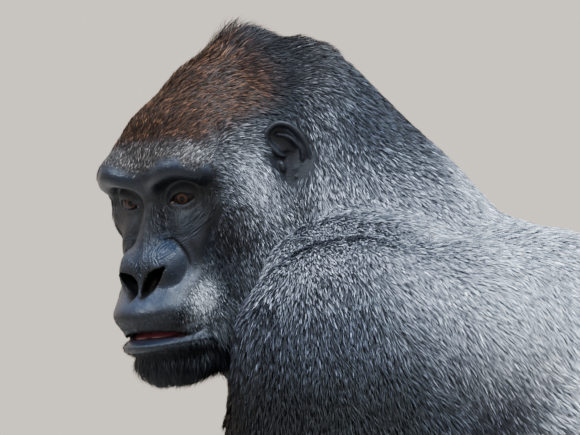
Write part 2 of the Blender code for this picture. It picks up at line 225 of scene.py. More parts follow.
def meshFrom(name, points, faces):
    # a mesh object from arrays; every face has the same number of corners
    data = bpy.data.meshes.new(name)
    points, faces = np.asarray(points, float), np.asarray(faces)
    data.vertices.add(len(points))
    data.vertices.foreach_set("co", points.ravel())
    data.loops.add(faces.size)
    data.loops.foreach_set("vertex_index", faces.ravel().astype(np.int32))
    data.polygons.add(len(faces))
    data.polygons.foreach_set("loop_start", np.arange(0, faces.size, faces.shape[1], dtype=np.int32))
    data.polygons.foreach_set("loop_total", np.full(len(faces), faces.shape[1], np.int32))
    data.update(calc_edges=True)
    data.validate()
    data.polygons.foreach_set("use_smooth", np.ones(len(faces), bool))
    obj = bpy.data.objects.new(name, data)
    bpy.context.scene.collection.objects.link(obj)
    return obj


def merged(meshes):
    # several (points, faces) as one
    starts = np.cumsum([0] + [len(points) for points, _ in meshes])
    return np.vstack([points for points, _ in meshes]), np.vstack([f + start for (_, f), start in zip(meshes, starts)])


def settle(obj, *modifiers):
    # adds modifiers, each a kind and its settings, and applies them to the mesh
    for kind, settings in modifiers:
        modifier = obj.modifiers.new(kind, kind)
        for key, value in settings.items():
            setattr(modifier, key, value)
    made = bpy.data.meshes.new_from_object(obj.evaluated_get(bpy.context.evaluated_depsgraph_get()))
    obj.modifiers.clear()
    obj.data = made


def read(items, field, width=3, kind=float):
    flat = np.empty(len(items) * width, kind)
    items.foreach_get(field, flat)
    return flat.reshape(-1, width)


def pointsOf(obj):
    return read(obj.data.vertices, "co")


def normalsOf(obj):
    return read(obj.data.vertex_normals, "vector")


def movePoints(obj, points):
    obj.data.vertices.foreach_set("co", np.asarray(points, float).ravel())
    obj.data.update()


# The head and the front of the neck

headClay = {
    "step": 0.0021,
    "low": (-0.125, -0.247, -0.290),
    "high": (0.165, 0.215, 0.112),
    "end": 0.062,  # how far behind the head's cut the clay goes
    "swap": 0.024,  # where the body's skin takes over
}
one, pair = (1,), (1, -1)

# softness, steps, sides, degrees tilted forward, and stations (x, y, z, half-sizes)
skullForms = [
    (12, 0, one, 0, [(0, 20, -6, 81, 102, 75)]),
    (12, 0, one, 0, [(0, -45, 27, 64, 74, 48)]),
    (12, 0, one, 0, [(0, 78, -6, 82, 64, 84)]),
    (12, 0, pair, 0, [(52, -20, -20, 34, 72, 52)]),
    (10, 8, one, 0, [(0, -50, 36, 38, 50, 36), (0, 20, 47, 36, 60, 40), (0, 92, 50, 41, 57, 43)]),  # crest
]
neckForms = [  # nape and throat, in the body's frame
    (14, 12, one, 0, [
        (0, -120, 880, 165, 110, 122),
        (0, -195, 934, 155, 100, 135),
        (0, -258, 987, 120, 90, 145),
        (0, -312, 1047, 90, 85, 140),
        (4, -350, 1089, 72, 70, 110),
    ]),
    (14, 7, one, 0, [(0, -270, 900, 150, 90, 120), (20, -345, 930, 115, 80, 110), (50, -390, 960, 90, 70, 100)]),
]
faceForms = [
    (14, 0, pair, 0, [(62, -45, -64, 28, 52, 62)]),
    (12, 12, pair, 0, [  # jaw
        (0, -178, -146, 38, 34, 26),
        (18, -168, -148, 35, 34, 27),
        (40, -110, -138, 32, 42, 36),
        (56, -45, -110, 30, 42, 48),
    ]),
    (12, 0, one, -12, [(0, -70, -110, 60, 90, 48)]),
    (26, 0, pair, 0, [(52, -78, -26, 30, 36, 36)]),
    (14, 0, one, 0, [(0, -85, -28, 56, 38, 50)]),
    (14, 0, one, 18, [(0, -140, -90, 57, 78, 50)]),  # muzzle, upper lip, lower lip, chin
    (8, 0, one, -16, [(0, -175, -92, 48, 44, 22)]),
    (6, 0, one, -16, [(0, -177, -124, 47, 45, 19)]),
    (10, 0, one, 0, [(0, -188, -136, 36, 30, 22)]),
    (18, 0, pair, 30, [(31, -112, -46, 24, 40, 34)]),
    (10, 12, one, 0, [  # bridge of the nose
        (0, -104, 24, 12, 14, 14),
        (0, -115, -5, 12, 16, 16),
        (0, -138, -30, 18, 18, 18),
        (0, -160, -46, 24, 20, 18),
    ]),
    (16, 8, pair, 0, [(50, -80, 34, 18, 18, 16), (28, -92, 44, 20, 18, 14), (0, -94, 44, 20, 18, 14)]),
    (12, 20, pair, 0, [  # brow ridge
        (67, -80, 2, 10, 12, 15),
        (60, -98, 25, 13, 17, 15),
        (41, -110, 37.5, 14, 18, 15.5),
        (20, -112, 31, 13, 17, 14.5),
        (0, -104, 17, 11, 13, 12),
    ]),
]

# flat cuts between the head and the rest, in metres: (point, direction into the head)
headCell = [
    ((0.090, -0.285, 1.087), (0.36, -0.92, 0.16)),
    ((0.013, -0.357, 0.935), (0.707, -0.578, 0.407)),
    ((0.175, -0.365, 0.900), (-0.55, -0.83, 0.10)),
    ((0.100, -0.400, 0.814), (0.02, -0.60, 0.80)),
]


def behindHead(points):
    # distance behind the head's cuts, negative inside the head
    far = [(points - (np.array(p) - shift)) @ (np.array(d) / np.linalg.norm(d)) for p, d in headCell]
    return -np.minimum.reduce(far)


def inHead(points, fade=0.02):
    return smooth(fade, 0.0, behindHead(points))


def worldBalls(balls):
    # ellipsoids given in the body's frame, in the head's own
    made = []
    for centre, radii, turn in balls:
        m = headTurn.T @ turnOf(turn)
        angles = np.degrees(np.array(Matrix(m.tolist()).to_euler("XYZ")))
        made.append((tuple(toHead(np.array(centre) - shift)), radii, tuple(angles)))
    return made


def buildHead():
    clay = Clay(headClay["low"], headClay["high"], headClay["step"])
    clay.addForms(skullForms)
    clay.addForms(neckForms, worldBalls)
    clay.addForms(faceForms)
    addEyeSockets(clay)
    addNose(clay)
    addMouth(clay)
    grid = np.meshgrid(*clay.axes, indexing="ij")
    world = fromHead(np.stack([p.ravel() for p in grid], 1))
    end = (behindHead(world) - headClay["end"]).reshape(clay.depth.shape)
    clay.depth = np.float32(-softMin(-clay.depth, -end, 0.012))
    points, faces = clay.surface()
    return fromHead(points), faces


eyes = {
    "upper": 33.0,  # degrees the upper lid arches above the corners
    "lower": 14.0,
    "corners": -7.0,  # degrees of the corners, and their angles to the inside and outside
    "inside": -38.0,
    "outside": 62.0,
    "lid": 0.0034,
    "bulge": 0.0009,  # of the cornea, and the radians it spreads to
    "bulgeWide": 0.42,
    "cornerPlace": (0.0212, -0.1150, -0.0015),
    "cornerRadii": (0.0034, 0.0030, 0.0026),
    "gazeLeft": (0.25, -0.967, 0.04),
    "gazeRight": (0.15, -0.980, 0.12),
}


def lidCurves(angle):
    # heights in degrees of the two lid edges, by the angle round the eyeball from inside to outside
    middle, half = (eyes["inside"] + eyes["outside"]) / 2, (eyes["outside"] - eyes["inside"]) / 2
    arch = np.maximum(1 - ((angle - middle) / half) ** 2, 0)
    return eyes["corners"] + eyes["upper"] * arch**0.8, eyes["corners"] - eyes["lower"] * arch**0.7


def addEyeSockets(clay):
    r, lid = head["eyeRadius"], head["eyeRadius"] + eyes["lid"]
    x0, y0, z0 = head["eye"]
    clay.carve(strung([(37, -129, 10, 23, 18, 12.5)], 0, pair, (0, 8, 0)), 0.008)
    clay.add(strung([(x0, y0, z0, lid, lid, lid)], 0, pair, per=1), 0.003)
    clay.add(strung([(x0 - 0.011, y0 - 0.0095, z0 - 0.0010, 0.007, 0.008, 0.006)], 0, pair, per=1), 0.004)
    for side in pair:
        def opened(x, y, z, depth):
            # between the lid edges, in front of the eyeball's middle, the flesh is cut away
            dx, dy, dz = (x - side * x0) * side, -(y - y0), z - z0
            away = np.sqrt(dx**2 + dy**2 + dz**2)
            height = np.degrees(np.arcsin(np.clip(dz / np.maximum(away, 1e-5), -1, 1)))
            upper, lower = lidCurves(np.degrees(np.arctan2(dx, dy)))
            out = np.maximum(height - upper, lower - height) * (away * np.pi / 180)
            out = np.maximum(out, np.maximum(0.003 - dy, away - 0.030))
            return -softMin(-depth, np.maximum(out, r - 0.0035 - away), 0.0008)
        corner = np.array((side * x0, y0, z0))
        clay.shape(corner - 0.033, corner + 0.033, opened)


nose = {
    "wing": (18.8, -158, -56.5, 19.2, 27, 25.5),
    "tilt": 24,
    "rim": [  # the thick rim round each nostril, from the tip round the outside to the lip
        (6, -171.5, -45.5, 8, 8, 8),
        (17, -166, -41, 9, 9, 9),
        (27.5, -156, -44, 9, 10, 9.5),
        (32.5, -156, -57.5, 7, 10, 9.5),
        (28, -168, -70, 8, 8.5, 8),
        (16, -181, -78, 8, 7, 6.5),
    ],
    "tip": [
        (0, -158, -36, 12, 12, 10),
        (0, -172, -49, 9.5, 10, 10),
        (0, -179, -63, 4.5, 7.5, 12),
        (0, -184, -74, 5, 7, 6),
    ],
    "nostril": [
        (5.5, -188, -65, 4, 12, 5.6),
        (10.5, -184, -59.5, 5.8, 15, 7.4),
        (18.5, -176.5, -53, 6.2, 15, 6.8),
        (26.5, -168, -48, 3.6, 11, 4),
    ],
    "deeper": [(14, -168, -57, 5.5, 12, 6), (13, -150, -60, 6, 12, 6)],
    "philtrum": [(0, -198, -76, 4, 5, 8), (0, -209, -86, 5, 6, 8)],
    "foldDepth": 0.0038,
    "fold": (18.8, -158, -56.5, 21.2, 30, 27.5),
}


def addNose(clay):
    clay.addForms([
        (6, 0, pair, nose["tilt"], [nose["wing"]]),
        (4, 16, pair, 0, nose["rim"]),
        (5, 9, one, 0, nose["tip"]),
        (-2, 10, pair, 0, nose["nostril"]),
        (-2, 3, pair, 0, nose["deeper"]),
        (6, 3, one, 0, nose["philtrum"]),
    ])
    cut, near = clay.distance(strung([nose["fold"]], 0, pair, (nose["tilt"], 0, 0)), 0.012)
    x, y, z = (axis[c] for axis, c in zip(clay.axes, cut))
    x, y, z = np.abs(x[:, None, None]), y[None, :, None], z[None, None, :]
    outer = smooth(0.020, 0.032, x + 0.35 * (y + 0.158)) * smooth(-0.095, -0.080, z)
    fold = bell(near, 0.0012, 0.0028) + 0.4 * bell(near, 0.0092, 0.0028) * smooth(-0.075, -0.06, z)
    clay.depth[cut] += np.float32(nose["foldDepth"] * outer * fold)

    def grooved(x, y, z, depth):
        # a narrow groove down the middle of the nose, fading out at both ends
        along = smooth(-0.020, -0.028, z) * smooth(-0.056, -0.046, z)
        return depth + 0.0030 * along * bell(x, 0, 0.0019)
    clay.shape((-0.008, -0.210, -0.060), (0.008, -0.145, -0.018), grooved)


mouth = {
    "halfWidth": 0.050,
    "middle": -0.1030,  # height of the opening's middle line
    "droop": 0.0200,  # how far the corners hang below it
    "gape": 0.0060,  # half-height in the middle
}


def addMouth(clay):
    w = mouth["halfWidth"]
    a = np.linspace(0, 1, 7)
    height = mouth["middle"] - mouth["droop"] * a**2 - 0.0105 + 0.0050 * a**2
    sizes = [0.0065 + 0 * a, 0.0062 - 0.002 * a, 0.0060 - 0.0020 * a]
    lower = np.stack([w * a * 0.97, -0.2170 + 0.037 * a**2.2, height, *sizes], 1)
    clay.add(strung(lower, 14, pair, per=1), 0.005)

    def opened(x, y, z, depth):
        # a lens between the lips, bent down to the corners and shallower there
        across = np.clip(np.abs(x) / w, 0, 1)
        middle = mouth["middle"] - mouth["droop"] * across**2
        half = mouth["gape"] * (1 - across**2) * (1 - 0.25 * across**2) + 0.0003
        out = np.maximum(np.abs(z - middle) - half, np.abs(x) - w)
        out = np.maximum(out, y + 0.160 + 0.020 * across**2)
        return -softMin(-depth, out, 0.0015)
    clay.shape((-w - 0.006, -0.246, -0.140), (w + 0.006, -0.150, -0.085), opened)


def lipLine(x):
    # height of the line between the lips
    return mouth["middle"] - mouth["droop"] * np.clip(x / 0.051, 0, 1.2) ** 2


# Hands, feet and ears

hands = {
    "step": 0.0027,
    "low": (0.185, -0.375, -0.006),
    "high": (0.372, -0.145, 0.250),
    "fingers": [  # in metres, each finger adds its own x
        (-0.268, 0.116, 0.0150, 0.016, 0.018),
        (-0.302, 0.066, 0.0147, 0.016, 0.016),
        (-0.326, 0.0200, 0.0147, 0.0170, 0.0200),
        (-0.285, 0.0140, 0.0145, 0.0150, 0.0145),
        (-0.264, 0.0330, 0.0120, 0.0110, 0.0140),
    ],
    "forms": [  # forearm and palm
        (8, 12, one, 0, [(300, -185, 390, 80, 84, 80), (290, -225, 280, 69, 70, 70), (278, -262, 168, 54, 46, 48)]),
        (8, 7, one, 0, [(278, -262, 168, 54, 45, 42), (276, -272, 128, 60, 34, 34), (275, -284, 96, 62, 29, 26)]),
    ],
    "thumb": (6, 8, one, 0, [
        (240, -254, 154, 17, 17, 18), (218, -250, 128, 14, 14, 18), (203, -254, 106, 12, 12, 16)
    ]),
    "thumbNail": 0.203,
    "pitch": 0.0302,
    "middle": 0.275,
    "cleft": 0.0004,
    "blend": 0.0035,
    "groove": (0.0030, 0.0016),  # depth and half-width
    "grooved": ((-0.36, 0), (-0.24, 0.11)),  # from and to, back and up
    "cutAbove": 0.15,
    "top": 0.238,
}

floorGap = 0.0004  # hands and feet end flat this far over the floor

feet = {
    "step": 0.0030,
    "low": (0.100, 0.185, -0.006),
    "high": (0.290, 0.500, 0.205),
    "toes": [
        (0.270, 0.023, 0.0112, 0.018, 0.019),
        (0.236, 0.022, 0.0108, 0.016, 0.016),
        (0.213, 0.0125, 0.0104, 0.013, 0.013),
    ],
    "forms": [  # shank and sole
        (8, 10, one, 0, [(216, 294, 285, 73, 83, 78), (200, 350, 185, 60, 65, 64), (188, 385, 100, 48, 51, 48)]),
        (10, 12, one, 0, [
            (182, 440, 36, 38, 38, 42),
            (188, 385, 50, 42, 40, 56),
            (196, 320, 36, 48, 40, 42),
            (203, 262, 26, 55, 30, 30),
        ]),
    ],
    "thumb": (6, 10, one, 0, [  # the great toe
        (172, 310, 30, 24, 24, 26), (145, 262, 24, 18, 20, 22), (131, 214, 16.5, 15, 19, 17.5)
    ]),
    "toeNail": 0.129,
    "pitch": 0.0222,
    "middle": 0.207,
    "cleft": 0.0003,
    "blend": 0.003,
    "groove": (0.0026, 0.0017),
    "grooved": ((0.19, 0), (0.28, 0.06)),
    "cutAbove": 0.12,
    "top": 0.192,
}


def placeOf(limb, n):
    # x of the nth digit, or of the gap after it when n ends in a half
    return limb["middle"] + (n - 1.5) * limb["pitch"]


def fingerBalls(x):
    rows = hands["fingers"]
    pairs = zip(rows[:-1], rows[1:])
    return [ball for start, end in pairs for ball in strung([(x, *start), (x, *end)], 6, per=1)]


def toeBalls(x):
    return strung([(x, *t) for t in feet["toes"]], 8, per=1)


def buildLimbEnd(limb, digitBalls, fade):
    # four digits side by side, clefts and grooves between them; flat on the floor, rounded off inside the limb
    clay = Clay(limb["low"], limb["high"], limb["step"])
    clay.addForms(limb["forms"])
    for n in range(4):
        x = placeOf(limb, n)
        cut, near = clay.distance(digitBalls(x), 0.010)
        at = clay.axes[0][cut[0]][:, None, None]
        near = np.maximum(near, np.abs(at - np.float32(x)) - np.float32(limb["pitch"] / 2 - limb["cleft"]))
        clay.depth[cut] = softMin(clay.depth[cut], near, limb["blend"])
    deep, width = limb["groove"]
    low, high = limb["grooved"]
    for n in range(3):
        x = placeOf(limb, n + 0.5)
        clay.shape(
            (x - 0.006, *low),
            (x + 0.006, *high),
            lambda gx, gy, gz, depth: depth + deep * fade(gy, gz) * bell(gx, x, width),
        )
    clay.addForms([limb["thumb"]])
    clay.shape((0, -1, -1), (1, 1, 1), lambda x, y, z, depth: np.maximum(depth, floorGap - z))
    clay.shape((0, -1, limb["cutAbove"]), (1, 1, 1), lambda x, y, z, depth: -softMin(-depth, limb["top"] - z, 0.016))
    return clay.surface()


ears = {
    "step": 0.0011,
    "place": (0.090, 0.006, -0.0135),  # in the head's frame
    "turn": 35.0,  # degrees its face turns forward
    "lean": -12.0,  # degrees its lobe stands out
    "helix": [  # (out, back, up) and radius, from the front of the ear over the top to the lobe
        (-1, -10, 4, 2.2),
        (0, -15, 14, 2.6),
        (1, -16, 23, 2.8),
        (2.5, -9, 29.5, 2.8),
        (4, 2, 30.5, 2.7),
        (5.5, 12, 23, 2.5),
        (6.5, 18, 9, 2.4),
        (6.5, 19, -7, 2.4),
        (5, 16, -20, 2.6),
        (2.5, 7, -29, 3.2),
        (0.5, -3, -30, 3.4),
    ],
    "inner": [(-0.5, -3, 20, 1.8), (1.5, 5, 14, 2.4), (3, 10.5, 5, 2.6), (3, 13, -6, 2.6), (1.5, 10.5, -15, 2.8)],
    "root": [(0, -15, 10, 2.6), (0, -10, 0, 2.4), (-2, -4, -5, 1.8)],
}


def buildEar():
    # the left ear in its own plane: out from the head, back, up
    def rope(name, wide):
        return [(*t[:3], t[3] * wide, t[3], t[3]) for t in ears[name]]
    backing = [(t[0] - 4, t[1] * 0.93, t[2] * 0.95, 3, 3, 3) for t in ears["helix"]]
    clay = Clay((-0.022, -0.032, -0.042), (0.016, 0.032, 0.042), ears["step"])
    clay.addForms([
        (2, 0, one, 0, [(-6, 1, -1, 4.2, 18.5, 30)]),
        (4, 0, one, 0, [(-16, -6, -4, 11, 13, 22)]),
        (3, 70, one, 0, rope("helix", 1.1)),
        (4, 60, one, 0, backing),
        (-2, 0, one, 0, [(0.5, -2, -10, 8.5, 8, 10.5)]),
        (-2, 0, one, 0, [(-6, -4.5, -13, 7, 4, 5)]),
        (2, 40, one, 0, rope("inner", 1.3)),
        (2, 24, one, 0, rope("root", 1.2)),
        (5, 0, one, 0, [(-1.2, -13, -13, 3.4, 4, 6.5)]),
        (3, 0, one, 0, [(-1, 3.5, -23.5, 4, 7.5, 6.5)]),
    ])
    return clay.surface()


def placeEar(points, side):
    turned = turnOf((0, 0, -ears["turn"])) @ turnOf((0, ears["lean"], 0))
    local = points @ turned.T + np.array(ears["place"])
    local[:, 0] *= side
    return fromHead(local)


# The lie of the coat: pieces of coat, whether their rows are in the head's frame, and rows of a place (mm), the way
# the hair lies there (always in the world's frame), its length, the depth of the coat over the skin, the width of a
# tuft (mm), and how many tufts lie over each other.

combing = [
    ("Head", True, [
        (0, -112, 45, 0, 55, 80, 8, 2, 1, 5),
        (40, -110, 40, 30, 55, 75, 8, 2, 1, 5),
        (0, -85, 70, -30, 60, 80, 12, 4, 1.1, 5),
        (45, -60, 60, 0, 80, 60, 12, 4, 1.1, 5),
        (0, -10, 86, -20, 80, 60, 14, 5, 1.1, 5),
        (0, 60, 94, -10, 40, 95, 24, 11, 1.2, 6),
        (0, 100, 88, 0, 50, 90, 24, 11, 1.2, 6),
        (0, 140, 60, 0, 90, -25, 18, 7, 1.2, 5),
        (55, 60, 60, 10, 90, 10, 14, 5, 1.1, 5),
        (80, -20, 25, 0, 75, 20, 11, 4, 1.1, 5),
        (78, -62, -10, 10, 55, -55, 9, 3, 1, 5),
        (88, -30, -50, 0, 45, -90, 12, 4, 1.1, 5),
        (70, -100, -70, 0, 35, -95, 11, 3.5, 1.1, 5),
        (80, -60, -110, 0, 30, -95, 14, 4.5, 1.1, 5),
        (58, -150, -98, 10, 45, -80, 6, 1.6, 0.9, 5),
        (60, -120, -150, 0, 20, -100, 15, 4.5, 1.1, 5),
        (0, -200, -160, -20, -15, -100, 12, 3, 1, 4),
        (30, -200, -150, 0, 10, -100, 12, 3, 1, 4),
        (0, -120, -175, 0, 30, -100, 16, 5, 1.2, 4),
    ]),
    ("Neck", True, [
        (90, 40, -20, 0, 30, -100, 13, 5, 1.1, 5),
    ]),
    ("Neck", False, [
        (100, -300, 1060, 0, 30, -100, 14, 5, 1.2, 5),
        (0, -270, 1160, 0, 85, -50, 15, 6, 1.2, 5),
        (0, -180, 1080, 0, 85, -50, 15, 6, 1.3, 5),
        (140, -220, 1020, 20, 50, -75, 14, 5, 1.2, 5),
        (0, -400, 870, 0, 10, -100, 18, 6, 1.5, 4),
        (110, -380, 900, -10, 5, -100, 16, 6, 1.4, 4),
    ]),
    ("Shoulder", False, [
        (240, -260, 990, 50, 30, -70, 13, 5, 1.2, 5),
        (250, -380, 880, 10, 5, -100, 15, 6, 1.2, 5),
        (345, -280, 870, 0, 22, -100, 15, 6, 1.2, 5),
        (330, -140, 860, 0, 60, -85, 15, 6, 1.2, 5),
        (230, -80, 940, 30, 75, -55, 14, 5, 1.3, 5),
        (360, -250, 760, 0, 22, -100, 19, 7, 1.3, 5),
    ]),
    ("Back", False, [
        (300, 0, 820, 0, 75, -65, 18, 7, 1.5, 4),
    ]),
    ("Arm", False, [
        (370, -230, 620, 0, 25, -100, 34, 10, 1.8, 5),
        (290, -330, 640, 0, 15, -100, 30, 9, 1.8, 5),
        (220, -200, 620, 0, 20, -100, 26, 8, 2, 4),
        (290, -110, 600, 0, 40, -100, 42, 12, 2, 5),
        (370, -150, 470, 10, 45, -100, 52, 14, 2, 5),
        (300, -70, 460, 0, 60, -90, 60, 16, 2.2, 5),
        (370, -200, 350, 20, 45, -95, 52, 13, 2, 5),
        (300, -120, 340, 0, 55, -90, 60, 15, 2.2, 5),
        (290, -270, 330, 10, 10, -100, 40, 10, 2, 5),
        (225, -210, 350, -10, 30, -100, 36, 9, 2, 4),
        (290, -310, 190, 0, 0, -100, 26, 6, 1.8, 5),
        (330, -250, 190, 10, 25, -100, 38, 8, 1.8, 5),
        (280, -210, 190, 0, 30, -100, 30, 7, 2, 4),
        (280, -325, 110, 0, -10, -100, 14, 2, 1.5, 4),
    ]),
    ("Belly", False, [
        (0, -390, 770, 0, 10, -100, 16, 5, 1.8, 3),
        (100, -385, 760, 30, 10, -100, 14, 4, 1.8, 3),
        (0, -250, 620, 0, 70, -60, 22, 7, 2.2, 3),
        (0, 0, 550, 0, 100, 0, 28, 9, 2.4, 3),
        (0, 250, 540, 0, 100, 0, 32, 10, 2.4, 3),
        (190, -20, 610, 10, 80, -40, 30, 9, 2.4, 3),
        (255, 120, 710, 0, 75, -65, 30, 10, 2.2, 4),
    ]),
    ("Back", False, [
        (0, -60, 1000, 0, 100, -25, 13, 5, 1.3, 5),
        (130, -20, 960, 15, 90, -35, 13, 5, 1.3, 5),
        (0, 120, 930, 0, 100, -20, 14, 5, 1.5, 4),
        (170, 140, 880, 15, 85, -45, 16, 6, 1.6, 4),
        (0, 300, 890, 0, 100, -30, 20, 7, 1.8, 4),
        (180, 300, 830, 10, 70, -60, 26, 8, 2, 4),
    ]),
    ("Leg", False, [
        (0, 500, 800, 0, 70, -75, 34, 10, 2.2, 4),
        (60, 570, 660, 0, 20, -100, 38, 11, 2.4, 4),
        (170, 540, 640, 0, 10, -100, 40, 12, 2.4, 4),
        (240, 420, 620, 10, 25, -100, 42, 13, 2.4, 4),
        (220, 260, 520, 10, 20, -100, 42, 12, 2.4, 4),
        (200, 400, 480, 0, 10, -100, 42, 12, 2.4, 4),
        (110, 330, 480, -10, 20, -100, 34, 9, 2.4, 4),
        (270, 220, 370, 10, 20, -100, 40, 12, 2.4, 4),
        (220, 170, 360, 0, 20, -100, 36, 10, 2.4, 4),
        (280, 310, 260, 10, 20, -100, 42, 12, 2.4, 4),
        (210, 390, 260, 0, 20, -100, 44, 12, 2.4, 4),
        (150, 300, 260, -10, 20, -100, 36, 10, 2.4, 4),
        (200, 330, 150, 0, -20, -100, 28, 7, 2.2, 4),
        (190, 430, 130, 0, 10, -100, 28, 7, 2.2, 4),
        (200, 290, 80, 0, -95, -30, 14, 2, 1.6, 4),
    ]),
]

pieceNames = ["Head", "Neck", "Shoulder", "Back", "Arm", "Belly", "Leg"]
finerCoat = ("Head", "Neck", "Shoulder")


def combTables():
    # both sides of the table as arrays
    made = []
    for piece, ofHead, rows in combing:
        longer, wider, more = (0.85, 0.82, 0.88) if piece in finerCoat else (1, 1, 1)
        for row in rows:
            length, depth, width, cover = row[6:]
            for side in pair:
                at, to = np.array(row[:3]) / 1000, np.array(row[3:6]) / 100
                at[0] *= side
                to[0] *= side
                at = fromHead(at) if ofHead else at - shift
                to = to / np.linalg.norm(to)
                made.append((*at, *to, length * longer, depth, width * wider, cover * more, pieceNames.index(piece)))
                if row[0] == 0:
                    break
    return np.array(made)


combRows = combTables()


def combed(points, batch=40000):
    # nearby rows blended by the inverse fourth power of distance: way, length, depth, width, cover and piece
    out = np.empty((len(points), 7))
    piece = np.empty(len(points), int)
    member = combRows[:, 10][:, None] == np.arange(len(pieceNames))
    for start in range(0, len(points), batch):
        part = points[start:start + batch]
        gap = ((part[:, None, :] - combRows[None, :, :3]) ** 2).sum(2)
        weight = 1 / (gap + 0.0002) ** 2
        weight /= weight.sum(1, keepdims=True)
        out[start:start + batch] = weight @ combRows[:, 3:10]
        piece[start:start + batch] = (weight @ member).argmax(1)
    return out, piece


# Bare skin, as functions of place

bareEdge = (  # heights, and how far back the bare face reaches at each
    [-0.20, -0.128, -0.116, -0.105, -0.086, -0.078, -0.070, -0.036, -0.015, 0.020],
    [-0.30, -0.240, -0.207, -0.192, -0.184, -0.174, -0.150, -0.114, -0.100, -0.099],
)


def bareness(points, soft=1.0):
    # 1 on the bare face, hands and soles, 0 under the coat, and 1 round the ears; soft widens the face's edge
    x, y, z = headPlace(points)
    top = 0.0370 + 0.0130 * smooth(0.004, 0.034, x) - 0.020 * smooth(0.046, 0.066, x)
    face = smooth(0.004 * soft, -0.004 * soft, y - np.interp(z, *bareEdge))
    face *= smooth(0.004 * soft, -0.004 * soft, z - top)
    lips = smooth(0.016, 0.011, np.abs(z + 0.003 - lipLine(x))) * smooth(-0.160, -0.176, y) * smooth(0.058, 0.052, x)
    around = smooth(0.0365, 0.0295, np.sqrt((x - 0.087) ** 2 + (y - 0.006) ** 2 + ((z + 0.0135) * 0.85) ** 2))
    _, y, z = bodyPlace(points)
    hand = smooth(0.012, -0.008, z - (0.100 - 0.25 * (y + 0.286))) * smooth(0.05, 0.0, y) * smooth(0.16, 0.12, z)
    palm = smooth(0.18, 0.15, z) * smooth(-0.275, -0.262, y + 0.28 * (z - 0.128)) * smooth(0.05, 0, y)
    toes = smooth(0.262, 0.240, y) * smooth(0.1, 0.08, z) * smooth(0.1, 0.15, y)
    sole = smooth(0.034, 0.022, z) * smooth(0.1, 0.15, y)
    limbs = np.maximum.reduce([hand, palm, toes, sole])
    atHead = inHead(points)
    return np.clip(np.maximum(np.maximum(face, lips) * atHead, limbs), 0, 1), around * atHead


print("head clay")
headMesh = buildHead()
print("hands, feet and ears")
handMesh = buildLimbEnd(hands, fingerBalls, lambda y, z: smooth(0.105, 0.085, z))
footMesh = buildLimbEnd(feet, toeBalls, lambda y, z: smooth(0.268, 0.250, y))
earPoints, earFaces = buildEar()

# The skin: the body's flesh let down by the depth of the coat, joined with the finer parts

flesh = {
    "parts": ("belly", "chest", "hips", "neck", "shoulder", "upper", "forearm", "thigh", "shank"),
    "swell": 0.0012,  # outwards, before the solids are fused
    "voxel": 0.0065,
    "soften": 24,
    "slack": 0.0004,  # further down than the coat is deep
    "sink": 0.3,  # how steeply a part goes under where another takes over
    "wrist": 0.192,  # heights where the arm and leg take over from the hand and foot
    "ankle": 0.132,
    "most": 192000,  # triangles of the whole skin
}


def fuller(points):
    # the coat stands further out over the nape and the forehead
    x, y, z = points.T
    nape = 0.0135 * bell(x, 0, 0.095) * smooth(-0.385, -0.305, y) * smooth(-0.105, -0.205, y) * smooth(0.92, 1.0, z)
    x, y, z = headPlace(points)
    forehead = 0.0090 * bell(x, 0, 0.070) * smooth(-0.105, -0.062, y) * smooth(0.110, -0.010, y)
    return nape + forehead * smooth(0.03, 0.06, z)


def wristHeight(points):
    # above the line where the hand's clay gives way to the arm's, far away elsewhere
    _, y, z = bodyPlace(points)
    return np.where(y < 0.02, z - flesh["wrist"], 1.0)


def ankleHeight(points):
    _, y, z = bodyPlace(points)
    return np.where(y > 0.05, z - flesh["ankle"], 1.0)


def insetBody():
    # the CAD's flesh as one soft skin, let down by the depth of the coat, and further where a finer part takes over
    solids = [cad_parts[n].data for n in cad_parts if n.split("_")[0] in flesh["parts"]]
    points, faces = merged([(read(d.vertices, "co"), read(d.polygons, "vertices", 3, np.int32)) for d in solids])
    points, index = np.unique(np.round(points, 6), axis=0, return_inverse=True)
    body = meshFrom("bodyFlesh", points, index.reshape(-1)[faces])
    movePoints(body, pointsOf(body) + flesh["swell"] * normalsOf(body))
    fuse = ("REMESH", {"mode": "VOXEL", "voxel_size": flesh["voxel"]})
    settle(body, fuse, ("SMOOTH", {"iterations": flesh["soften"]}))
    at = pointsOf(body)
    down = combed(at)[0][:, 4] / 1000 + flesh["slack"] - fuller(at)
    down += flesh["sink"] * np.clip(headClay["swap"] - behindHead(at), 0, 0.05)
    for height in (wristHeight(at), ankleHeight(at)):
        down += flesh["sink"] * np.clip(-height, 0, 0.03)
    movePoints(body, at - down[:, None] * normalsOf(body))
    return body


def fineParts():
    # head, hands and feet let down by the coat, and further where the body takes over
    made = [headMesh]
    for points, faces in (handMesh, footMesh):
        made += [(points - shift, faces), (points * (-1, 1, 1) - shift, faces[:, ::-1])]
    fine = meshFrom("fineClay", *merged(made))
    at = pointsOf(fine)
    bareHere, _ = bareness(at, 3.5)
    down = combed(at)[0][:, 4] / 1000 * (1 - bareHere) - fuller(at)
    high, front = at[:, 2] > 0.5, at[:, 1] < 0
    for past, here in (
        (behindHead(at) - headClay["swap"], high),
        (wristHeight(at), ~high & front),
        (ankleHeight(at), ~high & ~front),
    ):
        down += flesh["sink"] * np.clip(past, 0, 0.04) * here
    movePoints(fine, at - down[:, None] * normalsOf(fine))
    return fine


def join(piece, other):
    settle(piece, ("BOOLEAN", {"operation": "UNION", "solver": "MANIFOLD", "object": other}))
    bpy.data.objects.remove(other)


